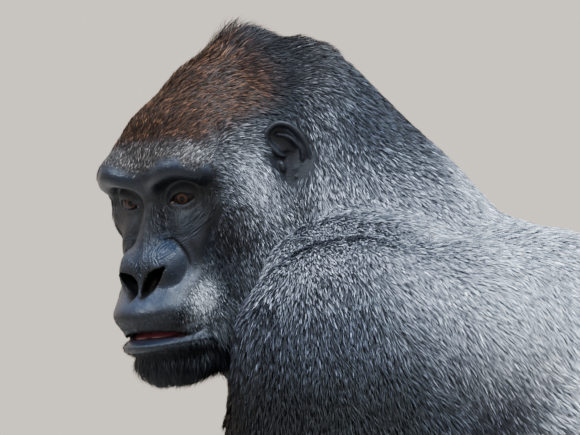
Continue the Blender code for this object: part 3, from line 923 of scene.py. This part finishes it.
print("skin")
skin = insetBody()
join(skin, fineParts())
earMeshes = [(placeEar(earPoints, 1), earFaces), (placeEar(earPoints, -1), earFaces[:, ::-1])]
join(skin, meshFrom("earClay", *merged(earMeshes)))
skin.name = "skin"
skin.data.calc_loop_triangles()
settle(skin, ("DECIMATE", {"ratio": min(1.0, flesh["most"] / len(skin.data.loop_triangles))}))
skin.data.calc_loop_triangles()
print("skin triangles", len(skin.data.loop_triangles))


def attribute(piece, name, kind, values):
    field = {"FLOAT": "value", "FLOAT_VECTOR": "vector", "FLOAT_COLOR": "color"}[kind]
    if kind == "FLOAT_COLOR":
        values = np.hstack([values, np.ones((len(values), 1))])
    piece.data.attributes.new(name, kind, "POINT").data.foreach_set(field, np.asarray(values, np.float32).ravel())


def mixed(a, b, share):
    return a + (b - a) * np.reshape(share, (-1, 1))


# Colours of coat and skin, linear

markings = {
    "blackRoot": (0.0040, 0.0048, 0.0070),
    "blackTip": (0.185, 0.215, 0.305),
    "silverRoot": (0.150, 0.165, 0.200),
    "silverTip": (0.840, 0.880, 0.960),
    "brownRoot": (0.010, 0.006, 0.005),
    "brownTip": (0.150, 0.066, 0.034),
    "paleTip": (0.680, 0.715, 0.810),
    "face": (0.0060, 0.0072, 0.0110),
    "fuzz": (0.330, 0.355, 0.410),
    # painted highlight: a lighter blue for the shining brow ridge, nose and lips
    "gloss": (0.0130, 0.0215, 0.0410),
    # painted bounce light: a warm olive for the chin and under the jaw
    "olive": (0.022, 0.0195, 0.0165),
    "palm": (0.034, 0.031, 0.031),
    "mouth": (0.060, 0.012, 0.012),
}
tints = {key: np.array(value) for key, value in markings.items()}


def coatColours(points):
    # colour at the root and at the tip of the hair, from the place on the animal; painted light is added on the brow
    # and on the tops of the shoulders and neck, painted shade low at the front
    hx, hy, hz = headPlace(points)
    x, y, z = bodyPlace(points)
    atHead = inHead(points, 0.06) * smooth(0.125, 0.105, hx)
    ragged = 0.03 * (np.sin(31 * z + 17 * x) + np.sin(23 * y - 41 * x))
    edge = y + ragged + 0.60 * (np.minimum(z, 0.97) - 0.95) - 1.1 * np.maximum(z - 0.97, 0)
    silver = smooth(-0.28, -0.09, edge) * smooth(-0.36, -0.20, y) * smooth(0.42, 0.28, x + ragged * 0.5)
    silver *= smooth(0.50, 0.78, z + ragged + 0.10 * smooth(0.2, 0.5, y))
    silver = np.maximum(silver, 0.45 * smooth(0.15, 0.3, y) * smooth(0.25, 0.60, z))
    cap = atHead * smooth(0.032, 0.054, hz + 0.15 * (hy + 0.06)) * smooth(0.080, 0.052, hx)
    cap *= smooth(0.110, 0.050, hy + 0.4 * hx) * smooth(-0.112, -0.094, hy - 0.2 * hx)
    crest = atHead * smooth(0.085, 0.095, hz) * smooth(0.03, 0.015, hx) * smooth(0.02, 0.05, hy)
    cheek = atHead * bell(hy, -0.050, 0.040) * bell(hz, -0.024, 0.052) * smooth(0.04, 0.065, hx)
    # pale short hair over the brow ridge, lightened further as a painted highlight
    paleBrowAndHighlight = atHead * smooth(-0.078, -0.098, hy) * smooth(0.020, 0.034, hz) * smooth(0.066, 0.048, hz)
    muzzle = atHead * bell(hy, -0.163, 0.024) * bell(hz, -0.094, 0.024) * smooth(0.028, 0.044, hx)
    root = mixed(tints["blackRoot"], tints["silverRoot"], 0.9 * silver)
    darker = 0.80 * atHead + 0.55 * (1 - atHead) * smooth(1.03, 1.10, z) * (1 - silver)
    tip = mixed(tints["blackTip"] * (1 - darker)[:, None], tints["silverTip"], silver)
    tip = mixed(tip, tints["paleTip"], np.clip(0.98 * cheek + 0.45 * paleBrowAndHighlight, 0, 1))
    brown = np.clip(cap * (1 - 0.75 * crest), 0, 1)
    root = mixed(root, tints["brownRoot"], brown)
    tip = mixed(tip, tints["brownTip"], brown)
    tip = mixed(tip, tints["silverTip"], np.clip(1.2 * muzzle, 0, 1))
    # painted light: the hair on the tops of the shoulders and neck gets pale tips, as if lit from above
    upper = smooth(0.90, 0.97, z) * smooth(1.10, 1.02, z) * (1 - atHead) * (1 - silver)
    tip = mixed(tip, tints["paleTip"], 0.75 * upper)
    neckPale = smooth(-0.018, 0.018, y + 0.362 - 0.055 * smooth(1.03, 1.11, z)) * smooth(-0.24, -0.29, y)
    neckPale *= smooth(0.88, 0.94, z) * (1 - 0.7 * smooth(1.12, 1.17, z)) * (1 - brown) * (1 - silver)
    tip = mixed(tip, tints["paleTip"], 0.30 * neckPale)
    # painted shade: the hair low at the front, on the chest and under the shoulders, is darkened
    low = smooth(0.935, 0.815, z) * smooth(-0.10 + 0.25 * (0.86 - np.clip(z, 0.70, 0.95)), -0.22, y)
    tip = tip * (1 - 0.95 * low)[:, None]
    root = root * (1 - 0.75 * low)[:, None]
    warm = smooth(0.00, 0.06, hz) * smooth(0.24, 0.12, hy) * smooth(0.125, 0.105, hx) * (1 - brown)
    return root, tip * (1 + warm[:, None] * np.array((0.16, -0.02, -0.20)))


def nostrilField(points):
    # one inside the nostrils: the distance to the line that they are carved along
    place = np.stack(headPlace(points), 1)
    away = np.full(len(place), 9.0)
    for middle, radii, _ in strung(nose["nostril"], 10):
        off = (place - np.array(middle)) / np.array(radii)
        off[:, 1] *= np.where(off[:, 1] > 0, 0.3, 1.0)
        away = np.minimum(away, np.linalg.norm(off, axis=1))
    return smooth(1.55, 1.15, away)


def glossField(points):
    # where the bare face shines, and where a painted highlight goes: brow ridge, nose, lips
    x, y, z = headPlace(points)
    browLine = 0.0400 - 0.014 * smooth(0.03, 0.0, x) - 0.014 * smooth(0.048, 0.066, x)
    brow = bell(z, browLine, 0.010) * smooth(-0.085, -0.105, y)
    pad = bell(x, 0.010, 0.030) * smooth(-0.018, -0.040, z) * smooth(-0.082, -0.070, z) * smooth(-0.120, -0.140, y)
    lips = bell(z, lipLine(x) - 0.010, 0.006) * smooth(-0.17, -0.19, y)
    lips += 0.8 * bell(z, -0.088, 0.009) * smooth(-0.17, -0.185, y)
    return np.clip((brow + pad + lips) * (1 - nostrilField(points)), 0, 1)


def skinColours(points, bareHere):
    x, y, z = headPlace(points)
    atHead = inHead(points, 0.04)
    # painted bounce light: the chin and the lowest face are tinted olive, as if lit from the floor
    face = mixed(tints["face"], tints["olive"], smooth(-0.125, -0.150, z) * 0.8)
    face = mixed(face, tints["face"] * 1.5, 0.6 * bell(z, 0.018, 0.012) * smooth(-0.09, -0.11, y))
    inside = smooth(0.0105, 0.006, np.abs(z - lipLine(x))) * smooth(-0.192, -0.172, y + 0.35 * x)
    face = mixed(face, tints["mouth"], inside * smooth(-0.10, -0.13, y) * smooth(0.041, 0.033, x))
    patch = bell(y, -0.163, 0.024) * bell(z, -0.096, 0.022) * smooth(0.028, 0.042, x)
    face = mixed(face, tints["fuzz"], 0.62 * patch)
    fromEye = np.linalg.norm(np.stack([x, y, z], 1) - head["eye"], axis=1)
    face = mixed(face, tints["face"] * 0.6, 0.5 * bell(fromEye, 0.0150, 0.0022))
    made = mixed(tints["palm"], face, atHead)
    # painted highlight: the shining brow ridge, nose and lips are painted a lighter blue
    made = mixed(made, tints["gloss"], 0.8 * glossField(points) * atHead)
    # painted shade: the skin inside the nostrils is darkened
    made = made * (1 - 0.9 * nostrilField(points))[:, None]
    root, tip = coatColours(points)
    return mixed(root * 0.8 + tip * 0.06, made, np.clip(bareHere, 0, 1))


def creaseFields(points):
    # where the creases lie: round the eyes, over the nose's bridge, across the lips
    x, y, z = headPlace(points)
    eye = np.hypot(x - 0.033, (z - 0.001) * 1.1)
    rings = smooth(0.017, 0.022, eye) * smooth(0.046, 0.036, eye) * smooth(0.012, -0.006, z) * smooth(-0.07, -0.09, y)
    bridge = smooth(0.030, 0.020, x) * smooth(-0.062, -0.048, z) * smooth(0.000, -0.012, z) * smooth(-0.09, -0.11, y)
    lip = smooth(0.020, 0.010, np.abs(z - lipLine(x))) * smooth(-0.150, -0.170, y)
    return np.stack([rings, bridge, lip], 1)


print("skin colours")
skinAt = pointsOf(skin)
skinNormal = normalsOf(skin)
bare, aroundEar = bareness(skinAt)
bareAll = np.maximum(bare, aroundEar)
upward = smooth(-0.25, 0.75, skinNormal[:, 2])  # painted light and shade: the bare face is painted lighter where it faces up and darker where it faces down
paintedLightAndShade = 1 + bare * inHead(skinAt) * (1.25 * upward - 0.75)
attribute(skin, "bare", "FLOAT", bareAll)
attribute(skin, "tint", "FLOAT_COLOR", skinColours(skinAt, bareAll) * paintedLightAndShade[:, None])
attribute(skin, "headPlace", "FLOAT_VECTOR", toHead(skinAt))
attribute(skin, "creases", "FLOAT_VECTOR", creaseFields(skinAt))
attribute(skin, "gloss", "FLOAT", glossField(skinAt) * bareAll * inHead(skinAt))

# The coat: thin locks of two or three parts that lie along the body and overlap

coat = {
    "seed": 11,
    "most": 470000,  # tufts in all
    "split": 190000,  # triangles above which a piece is made in halves
    "patch": 0.003,  # side of a tuft's own patch on the map
    "stray": 8.0,  # degrees a tuft turns from its neighbours
    "clump": 7.0,  # degrees that groups of tufts turn
    "roll": 34.0,
    "lengths": (0.65, 1.25),  # least and most, as shares of the table's
    "depths": (0.45, 1.0),
    "widths": (0.6, 1.2),
    "widthAlong": (0.8, 1.0, 0.75),  # of each part, from the root
    "rooted": 0.0012,  # how deep a tuft starts under the skin
    "atEdge": (0.62, 0.70, 0.45),  # how much shorter, lower and narrower tufts are at the face's edge
    "uneven": 0.42,  # spread of the tufts' lightness
}


def roundTurn(across, ahead):
    # the angle from straight ahead as a share of a whole turn
    return np.arctan2(across, ahead) / (2 * np.pi) + 0.5


def unwrapped(points, kind):
    # the skin laid flat: round the head's middle, round each limb, round the trunk
    x, y, z = points.T
    if kind == "Head":
        q = toHead(points) - np.array((0, 0.010, -0.030))
        return roundTurn(q[:, 0], -q[:, 1]), np.arcsin(q[:, 2] / np.linalg.norm(q, axis=1)) / np.pi + 0.5
    if kind in ("Back", "Belly"):
        return roundTurn(x, z - 0.72), (y + 0.56) / 1.12
    if kind == "Neck":
        return roundTurn(x, -(y + 0.24 - 0.3 * (z - 1.0))), (z - 0.72) / 0.48
    middleX, middleY = 0.28, -0.22
    if kind == "Leg":
        middleX, middleY = 0.19, 0.34 + 0.22 * smooth(0.3, 0.8, z) - 0.12 * bell(z, 0.38, 0.1)
    turn = roundTurn(np.abs(x) - middleX, y - middleY)
    return 0.5 + np.where(x > 0, 1, -1) * (0.01 + 0.48 * turn), z / 1.21


def tuftPiece(name, parts, place, at, up, way, flat, length, depth, width, rootTone, tipTone):
    # each tuft leaves the skin, bends over and lies along it to a point: at t of its length from the root it is
    # 1.9 t (1 - 0.42 t) of its depth over the skin, at most the whole, and its tip comes down a little
    n, last, rooted = len(at), 2 * parts, coat["rooted"]
    points, tones = np.empty((2, n, last + 1, 3))
    for k, t in enumerate(np.linspace(0, 1, parts + 1)):
        rise = -rooted + (depth + rooted) * min(1.0, 1.9 * t * (1 - 0.42 * t)) if t < 1 else depth * 0.92
        middle = at + way * (length * t)[:, None] + up * rise[:, None]
        tones[:, 2 * k:2 * k + 2] = (rootTone + (tipTone - rootTone) * t**1.3)[:, None]
        if t < 1:
            half = flat * (width * 0.5 * coat["widthAlong"][k])[:, None]
            points[:, 2 * k], points[:, 2 * k + 1] = middle + half, middle - half
    points[:, last] = middle
    faces = [face for k in range(0, last - 2, 2) for face in ((k + 1, k, k + 2), (k + 1, k + 2, k + 3))]
    faces = np.array(faces + [(last - 1, last - 2, last)])
    faces = (faces[None] + (np.arange(n) * (last + 1))[:, None, None]).reshape(-1, 3)
    piece = meshFrom(name, points.reshape(-1, 3), faces)
    attribute(piece, "tone", "FLOAT_COLOR", tones.reshape(-1, 3))
    spot = np.array([(k % 2 - 0.5, k // 2 / parts - 0.5) for k in range(last)] + [(0, 0.5)]) * coat["patch"]
    uv = (place[:, None, :] + spot[None]).reshape(-1, 2)[faces.ravel()]
    piece.data.uv_layers.new(name="OFBake").uv.foreach_set("vector", uv.astype(np.float32).ravel())
    print(name, "triangles", len(faces))
    return piece


def growCoat():
    rng = np.random.default_rng(coat["seed"])
    corner = read(skin.data.loop_triangles, "vertices", 3, np.int32)
    rows, piece = combed(skinAt)
    x, y, z = headPlace(skinAt)
    near = bareness(skinAt, 6.0)[0] * inHead(skinAt)
    near = near * (1 - 0.75 * smooth(-0.120, -0.132, z) * smooth(-0.09, -0.12, y))
    stubble = np.maximum(smooth(-0.112, -0.120, z), smooth(-0.076, -0.086, z) * smooth(-0.100, -0.095, z))
    stubble *= smooth(-0.150, -0.170, y)
    stubble += 2.4 * bell(y, -0.163, 0.020) * bell(z, -0.092, 0.018) * smooth(0.026, 0.036, x)
    hidden = bare * (1 - 0.30 * np.clip(stubble, 0, 2.6) * inHead(skinAt))
    shorter, lower, narrower = coat["atEdge"]
    finer = (1 - shorter * near) * (1 - narrower * near)
    cover = rows[:, 6] / (rows[:, 5] * rows[:, 3]) * 1e6 * (1 - hidden) * (1 - aroundEar) / finer
    a, b, c = (skinAt[corner[:, k]] for k in range(3))
    expected = 0.5 * np.linalg.norm(np.cross(b - a, c - a), axis=1) * cover[corner].mean(1)
    expected *= min(1.0, coat["most"] / expected.sum())
    count = np.floor(expected + rng.random(len(expected))).astype(int)
    face = np.repeat(np.arange(len(count)), count)
    n = len(face)
    print("tufts", n)
    u, v = rng.random(n), rng.random(n)
    flip = u + v > 1
    u[flip], v[flip] = 1 - u[flip], 1 - v[flip]
    share = np.stack([1 - u - v, u, v], 1)

    def atRoot(values):
        # what the corners of each tuft's triangle say, blended at its root
        return (values[corner[face]] * (share if values.ndim == 1 else share[:, :, None])).sum(1)

    at, up, comb, edgeHere = (atRoot(values) for values in (skinAt, skinNormal, rows, near))
    kind = piece[corner[face, 0]]
    up /= np.linalg.norm(up, axis=1, keepdims=True)
    way = comb[:, :3] - (comb[:, :3] * up).sum(1, keepdims=True) * up
    way /= np.linalg.norm(way, axis=1, keepdims=True) + 1e-9
    side = np.cross(way, up)
    wave = np.sin(at @ np.array((61.0, 83.0, 47.0))) + np.sin(at @ np.array((-97.0, 41.0, 113.0)) + 1.3)
    angle = np.radians(coat["stray"] * rng.standard_normal(n) + coat["clump"] * wave)[:, None]
    way, side = way * np.cos(angle) + side * np.sin(angle), side * np.cos(angle) - way * np.sin(angle)
    length = comb[:, 3] / 1000 * rng.uniform(*coat["lengths"], n) * (1 - shorter * edgeHere)
    depth = comb[:, 4] / 1000 * rng.uniform(*coat["depths"], n) * (1 - lower * edgeHere)
    width = comb[:, 5] / 1000 * rng.uniform(*coat["widths"], n) * (1 - narrower * edgeHere)
    _, y, z = headPlace(at)
    beard = smooth(-0.112, -0.126, z) * smooth(-0.08, -0.12, y) * (behindHead(at) < 0)
    _, y, z = bodyPlace(at)
    crown = bell(y, -0.390, 0.020) * smooth(1.165, 1.190, z)
    length *= 1 + 0.55 * beard + 0.10 * crown
    depth *= 1 + 2.6 * beard * rng.random(n) + 1.4 * crown * rng.random(n)
    roll = np.radians(rng.uniform(-coat["roll"], coat["roll"], n))[:, None]
    flat = side * np.cos(roll) + up * np.sin(roll)
    root, tip = coatColours(at)
    lightTip = rng.random(n) ** (3.6 - 2.2 * smooth(0.3, 0.8, tip.mean(1)))  # silver hair is light more evenly
    shade = np.exp(coat["uneven"] * rng.standard_normal(n))[:, None]
    tones = (root * shade, mixed(root, tip, 0.06 + 1.30 * lightTip) * shade)
    made = []
    for k, name in enumerate(pieceNames):
        parts = 3 if name in ("Arm", "Leg") else 2
        halves = {"": kind == k}
        if halves[""].sum() * (2 * parts - 1) > coat["split"]:
            left = (toHead(at) if name == "Head" else at)[:, 0] > 0
            halves = {"Left": (kind == k) & left, "Right": (kind == k) & ~left}
        for word, of in halves.items():
            cut = [values[of] for values in (at, up, way, flat, length, depth, width, *tones)]
            made.append(tuftPiece(f"coat{name}{word}", parts, np.stack(unwrapped(at[of], name), 1), *cut))
    return made


print("coat")
coatPieces = growCoat()

# Eyes, their corners, tongue and nails

def ovals(name, items, rings=14, turns=20):
    # closed ovals, given by centre, radii and a turning matrix: (sin a cos b, sin a sin b, cos a) times the radii
    down = np.linspace(0, np.pi, rings + 1)[1:-1]
    around = np.arange(turns) * 2 * np.pi / turns
    ring = [(np.sin(a) * np.cos(b), np.sin(a) * np.sin(b), np.cos(a)) for a in down for b in around]
    ball = np.array([(0, 0, 1), *ring, (0, 0, -1)])
    faces = []
    last = len(ball) - 1
    for j in range(turns):
        k = (j + 1) % turns
        faces += [(0, 1 + j, 1 + k), (last, last - turns + k, last - turns + j)]
        for i in range(rings - 2):
            a, b = 1 + i * turns + j, 1 + i * turns + k
            faces += [(a, a + turns, b), (b, a + turns, b + turns)]
    return meshFrom(name, *merged([
        (np.array(centre) + (ball * radii) @ np.array(turn).T, np.array(faces)) for centre, radii, turn in items
    ]))


def gazeTurn(gaze):
    # the matrix whose third column is the way the eye looks, in the head's frame
    z = np.array(gaze, float) / np.linalg.norm(gaze)
    x = np.cross((0, 0, 1), z)
    x /= np.linalg.norm(x)
    return np.stack([x, np.cross(z, x), z], 1)


def buildEyeball(name, side, gaze):
    # a ball that bulges over the iris: its radius grows by bulge (1 - (angle / wide) ** 2) ** 1.5
    eye = ovals(name, [((0, 0, 0), (1, 1, 1), np.eye(3))], 60, 64)
    unit = pointsOf(eye)
    away = np.arccos(np.clip(unit[:, 2], -1, 1))
    radius = head["eyeRadius"] + eyes["bulge"] * np.clip(1 - (away / eyes["bulgeWide"]) ** 2, 0, 1) ** 1.5
    movePoints(eye, fromHead((unit * radius[:, None]) @ gazeTurn(gaze).T + np.array(head["eye"]) * (side, 1, 1)))
    attribute(eye, "fromPupil", "FLOAT", away)
    attribute(eye, "fibre", "FLOAT_VECTOR", unit)
    return eye


tongues = {"place": (0.0, -0.1800, -0.1092), "radii": (0.037, 0.027, 0.0052), "furrow": 0.0016}


def buildTongue():
    # a flat oval that hangs at its sides like the lips, with a furrow along its middle
    made = ovals("tongueSoft", [((0, 0, 0), tongues["radii"], np.eye(3))], 24, 40)
    at = pointsOf(made) + np.array(tongues["place"])
    furrow = tongues["furrow"] * bell(at[:, 0], 0, 0.003) * (at[:, 2] > tongues["place"][2])
    at[:, 2] -= mouth["droop"] * (at[:, 0] / mouth["halfWidth"]) ** 2 + furrow
    movePoints(made, fromHead(at))
    return made


nailForms = {  # back and up, radii, degrees tilted
    "finger": (-0.2575, 0.0265, (0.0062, 0.0016, 0.0085), -42),
    "toe": (0.2065, 0.0228, (0.0062, 0.0080, 0.0018), 28),
    "thumb": (-0.2655, 0.100, (0.0062, 0.0018, 0.0085), 0),
    "greatToe": (0.2020, 0.0300, (0.0095, 0.0100, 0.0022), 30),
}


def buildNails():
    def nail(x, kind):
        y, z, radii, tilt = nailForms[kind]
        return np.array((x, y, z)) - shift, radii, turnOf((tilt, 0, 0))
    items = []
    for side in pair:
        for n in range(4):
            items += [nail(side * placeOf(hands, n), "finger"), nail(side * placeOf(feet, n), "toe")]
        items += [nail(side * hands["thumbNail"], "thumb"), nail(side * feet["toeNail"], "greatToe")]
    return ovals("nails", items, 8, 14)


print("eyes, tongue and nails")
eyeLeft = buildEyeball("eyeLeft", 1, eyes["gazeLeft"])
eyeRight = buildEyeball("eyeRight", -1, eyes["gazeRight"])
cornerAt = [fromHead(np.array(eyes["cornerPlace"]) * (s, 1, 1)) for s in pair]
eyeCorners = ovals("eyeCorners", [(at, eyes["cornerRadii"], headTurn) for at in cornerAt], 10, 14)
tongue = buildTongue()
nails = buildNails()

# Materials

class Shade:
    # a socket in a material; sums and products on it add nodes
    def __init__(self, tree, socket=None):
        self.tree, self.socket = tree, socket

    def feed(self, slot, value):
        if isinstance(value, Shade):
            self.tree.links.new(value.socket, slot)
        else:
            slot.default_value = value

    def node(self, kind, settings=None, values=None, output=0):
        # settings first, with ramp stops among them, then what feeds each socket
        made = self.tree.nodes.new("ShaderNode" + kind)
        for key, value in (settings or {}).items():
            if key == "stops":
                ramp = made.color_ramp.elements
                while len(ramp) < len(value):
                    ramp.new(0.5)
                for stop, (place, *colour) in zip(ramp, value):
                    stop.position, stop.color = place, (*colour, 1)
            else:
                setattr(made, key, value)
        for key, value in (values or {}).items():
            self.feed(made.inputs[key], value)
        return Shade(self.tree, made.outputs[output])

    def maths(self, operation, *values):
        return self.node("Math", {"operation": operation}, dict(enumerate(values)))

    def __add__(self, other):
        return self.maths("ADD", self, other)

    def __radd__(self, other):
        return self.maths("ADD", other, self)

    def __sub__(self, other):
        return self.maths("SUBTRACT", self, other)

    def __rsub__(self, other):
        return self.maths("SUBTRACT", other, self)

    def __mul__(self, other):
        return self.maths("MULTIPLY", self, other)

    def __rmul__(self, other):
        return self.maths("MULTIPLY", other, self)


def material(name, look):
    made = bpy.data.materials.new(name)
    made.use_nodes = True
    made.node_tree.nodes.clear()
    surface = look(Shade(made.node_tree))
    out = made.node_tree.nodes.new("ShaderNodeOutputMaterial")
    made.node_tree.links.new(surface.socket, out.inputs["Surface"])
    return made


def scaled(s, colour, by):
    return s.node("VectorMath", {"operation": "SCALE"}, {0: colour, "Scale": by})


def noted(s, name, output="Fac"):
    # what the mesh says there
    return s.node("Attribute", {"attribute_name": name}, {}, output)


def noise(s, scale, detail=2.0, place=None):
    place = place or s.node("TexCoord", {}, {}, "Object")
    return s.node("TexNoise", {}, {"Vector": place, "Scale": scale, "Detail": detail}, "Fac")


def skinLook(s):
    x, z = (s.node("SeparateXYZ", {}, {0: noted(s, "headPlace", "Vector")}, k) for k in (0, 2))
    onEye, onBridge, onLips = (s.node("SeparateXYZ", {}, {0: noted(s, "creases", "Vector")}, k) for k in range(3))
    across = s.maths("ABSOLUTE", x)
    fine = noise(s, 900.0, 3.0)
    broad = noise(s, 70.0, 4.0)
    cells = s.node("TexVoronoi", {}, {"Vector": s.node("TexCoord", {}, {}, "Object"), "Scale": 620.0}, "Distance")
    eyeX, eyeZ = across - 0.033, (z - 0.001) * 1.1
    eyeAway = s.maths("SQRT", eyeX * eyeX + eyeZ * eyeZ)
    eyeTurn = s.maths("ARCTAN2", eyeZ, eyeX)

    def streaks(along, over):
        # noise drawn out along one way, folded into thin creases
        drawn = noise(s, 1.0, 2.0, s.node("CombineXYZ", {}, {0: along, 1: over}))
        return s.maths("ABSOLUTE", drawn - 0.5) * 5.0

    rings = streaks(eyeTurn * 1.6, eyeAway * 270.0)
    folds = streaks(z * 60.0, across * 250.0 + z * 120.0)
    lines = streaks(z * 90.0, x * 700.0)
    height = fine * 0.26 + cells * 0.42 + broad * 0.60
    height = height + onEye * rings * 2.4 + onBridge * folds * 2.8 + onLips * lines * 0.45
    rough = 0.84 - noted(s, "bare") * 0.35 + (fine - 0.5) * 0.18
    return s.node("BsdfPrincipled", {}, {
        "Base Color": scaled(s, noted(s, "tint", "Color"), 0.40 + broad * 0.80 + cells * 0.50),
        "Roughness": rough - noted(s, "gloss") * 0.28,
        "Normal": s.node("Bump", {}, {"Height": height, "Strength": 0.6, "Distance": 0.0012}),
        "Specular IOR Level": 0.25,
    })


def coatLook(s):
    return s.node("BsdfPrincipled", {}, {
        "Base Color": scaled(s, noted(s, "tone", "Color"), 0.6 + noise(s, 420.0) * 0.8),
        "Roughness": 0.50,
        "Specular IOR Level": 0.16,
    })


irisStops = [  # radians from the middle of the pupil, and colours
    (0.0, 0.001, 0.001, 0.001),
    (0.145, 0.001, 0.001, 0.001),
    (0.185, 0.012, 0.004, 0.003),
    (0.270, 0.048, 0.022, 0.014),
    (0.345, 0.026, 0.013, 0.009),
    (0.380, 0.004, 0.003, 0.003),
    (0.50, 0.009, 0.006, 0.0055),
    (1.0, 0.030, 0.017, 0.015),
]


def eyeballLook(s):
    flat = s.node("VectorMath", {"operation": "MULTIPLY"}, {0: noted(s, "fibre", "Vector"), 1: (1, 1, 0)})
    streak = noise(s, 9.0, 4.0, s.node("VectorMath", {"operation": "NORMALIZE"}, {0: flat}))
    colour = s.node("ValToRGB", {"stops": irisStops}, {"Fac": noted(s, "fromPupil") + (streak - 0.5) * 0.10})
    return s.node("BsdfPrincipled", {}, {
        "Base Color": scaled(s, colour, 0.45 + streak * 1.1),
        "Roughness": 0.35,
        "Specular IOR Level": 0.04,
        "Coat Weight": 0.14,
        "Coat Roughness": 0.02,
    })


def wetLook(colour, rough, grainScale):
    def look(s):
        grain = noise(s, grainScale, 3.0)
        return s.node("BsdfPrincipled", {}, {
            "Base Color": scaled(s, colour, 0.7 + grain * 0.6),
            "Roughness": rough,
            "Normal": s.node("Bump", {}, {"Height": grain, "Strength": 0.4, "Distance": 0.0006}),
            "Coat Weight": 0.4,
        })
    return look


def floorLook(s):
    colour = scaled(s, (0.62, 0.60, 0.57), 0.97 + noise(s, 3.0) * 0.06)
    return s.node("BsdfPrincipled", {}, {"Base Color": colour, "Roughness": 0.8})


def put(piece, made, slot, *nodes):
    piece.data.materials.clear()
    piece.data.materials.append(made)
    piece.data.polygons.foreach_set("use_smooth", np.ones(len(piece.data.polygons), bool))
    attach(piece, "root")
    if nodes:
        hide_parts(*nodes)


print("materials")
skinMaterial = material("skinBare", skinLook)
coatMaterial = material("coatHair", coatLook)
eyeMaterial = material("eyeWet", eyeballLook)
tongueMaterial = material("tongueWet", wetLook((0.125, 0.032, 0.040), 0.35, 500.0))
cornerMaterial = material("eyeCorner", wetLook((0.060, 0.022, 0.020), 0.30, 700.0))
nailMaterial = material("nailHorn", wetLook((0.030, 0.026, 0.024), 0.35, 400.0))
fleshNodes = [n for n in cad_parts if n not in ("eye_left", "eye_right", "tongue")]
put(skin, skinMaterial, "bare_skin", *fleshNodes)
put(eyeLeft, eyeMaterial, "eye_brown", "eye_left")
put(eyeRight, eyeMaterial, "eye_brown", "eye_right")
put(tongue, tongueMaterial, "tongue_pink", "tongue")
put(eyeCorners, cornerMaterial, "bare_skin")
put(nails, nailMaterial, "bare_skin")
coatSlots = {"Head": "coat_grey", "Neck": "coat_grey", "Back": "coat_silver"}
for piece in coatPieces:
    word = piece.name[4:].replace("Left", "").replace("Right", "")
    put(piece, coatMaterial, coatSlots.get(word, "coat_black"))

# Camera, light and floor

camera = bpy.data.objects.new("camera", bpy.data.cameras.new("camera"))
bpy.context.scene.collection.objects.link(camera)
camera.location = (5.0498, -0.3493, 1.0041)
camera.rotation_euler = (math.radians(90), 0, math.radians(90))
camera.data.lens = 295.6
camera.data.sensor_width = 36
bpy.context.scene.camera = camera

lamps = {  # place, aim, side, watts and colour
    "sky": ((0.8, 0.5, 3.3), (0.1, -0.2, 0.9), 1.8, 260, (0.70, 0.85, 1.0)),
    "side": ((1.9, -2.6, 2.9), (0, -0.4, 0.95), 0.9, 130, (0.74, 0.87, 1.0)),
    "fill": ((4.2, 1.4, 1.4), (0, 0, 0.7), 2.2, 8, (0.95, 0.97, 1.0)),
}
for name, (place, aim, size, power, colour) in lamps.items():
    lamp = bpy.data.objects.new(name, bpy.data.lights.new(name, "AREA"))
    lamp.data.energy, lamp.data.size, lamp.data.color = power, size, colour
    lamp.location = place
    lamp.rotation_euler = Matrix(gazeTurn(np.array(place) - np.array(aim)).tolist()).to_euler()
    bpy.context.scene.collection.objects.link(lamp)

world = bpy.data.worlds.new("pale")
world.use_nodes = True
background = world.node_tree.nodes["Background"].inputs
background["Color"].default_value = (1.0, 0.890, 0.780, 1)
background["Strength"].default_value = 1.12
bpy.context.scene.world = world

ground = {"radius": 13, "sides": 96}
turns = np.arange(ground["sides"]) * 2 * np.pi / ground["sides"]
rim = ground["radius"] * np.stack([np.cos(turns), np.sin(turns), 0 * turns], 1)
wedges = [(0, 1 + k, 1 + (k + 1) % ground["sides"]) for k in range(ground["sides"])]
floor = meshFrom("floor", np.vstack([[(0, 0, 0)], rim]), np.array(wedges))
floor.data.materials.append(material("floorPale", floorLook))
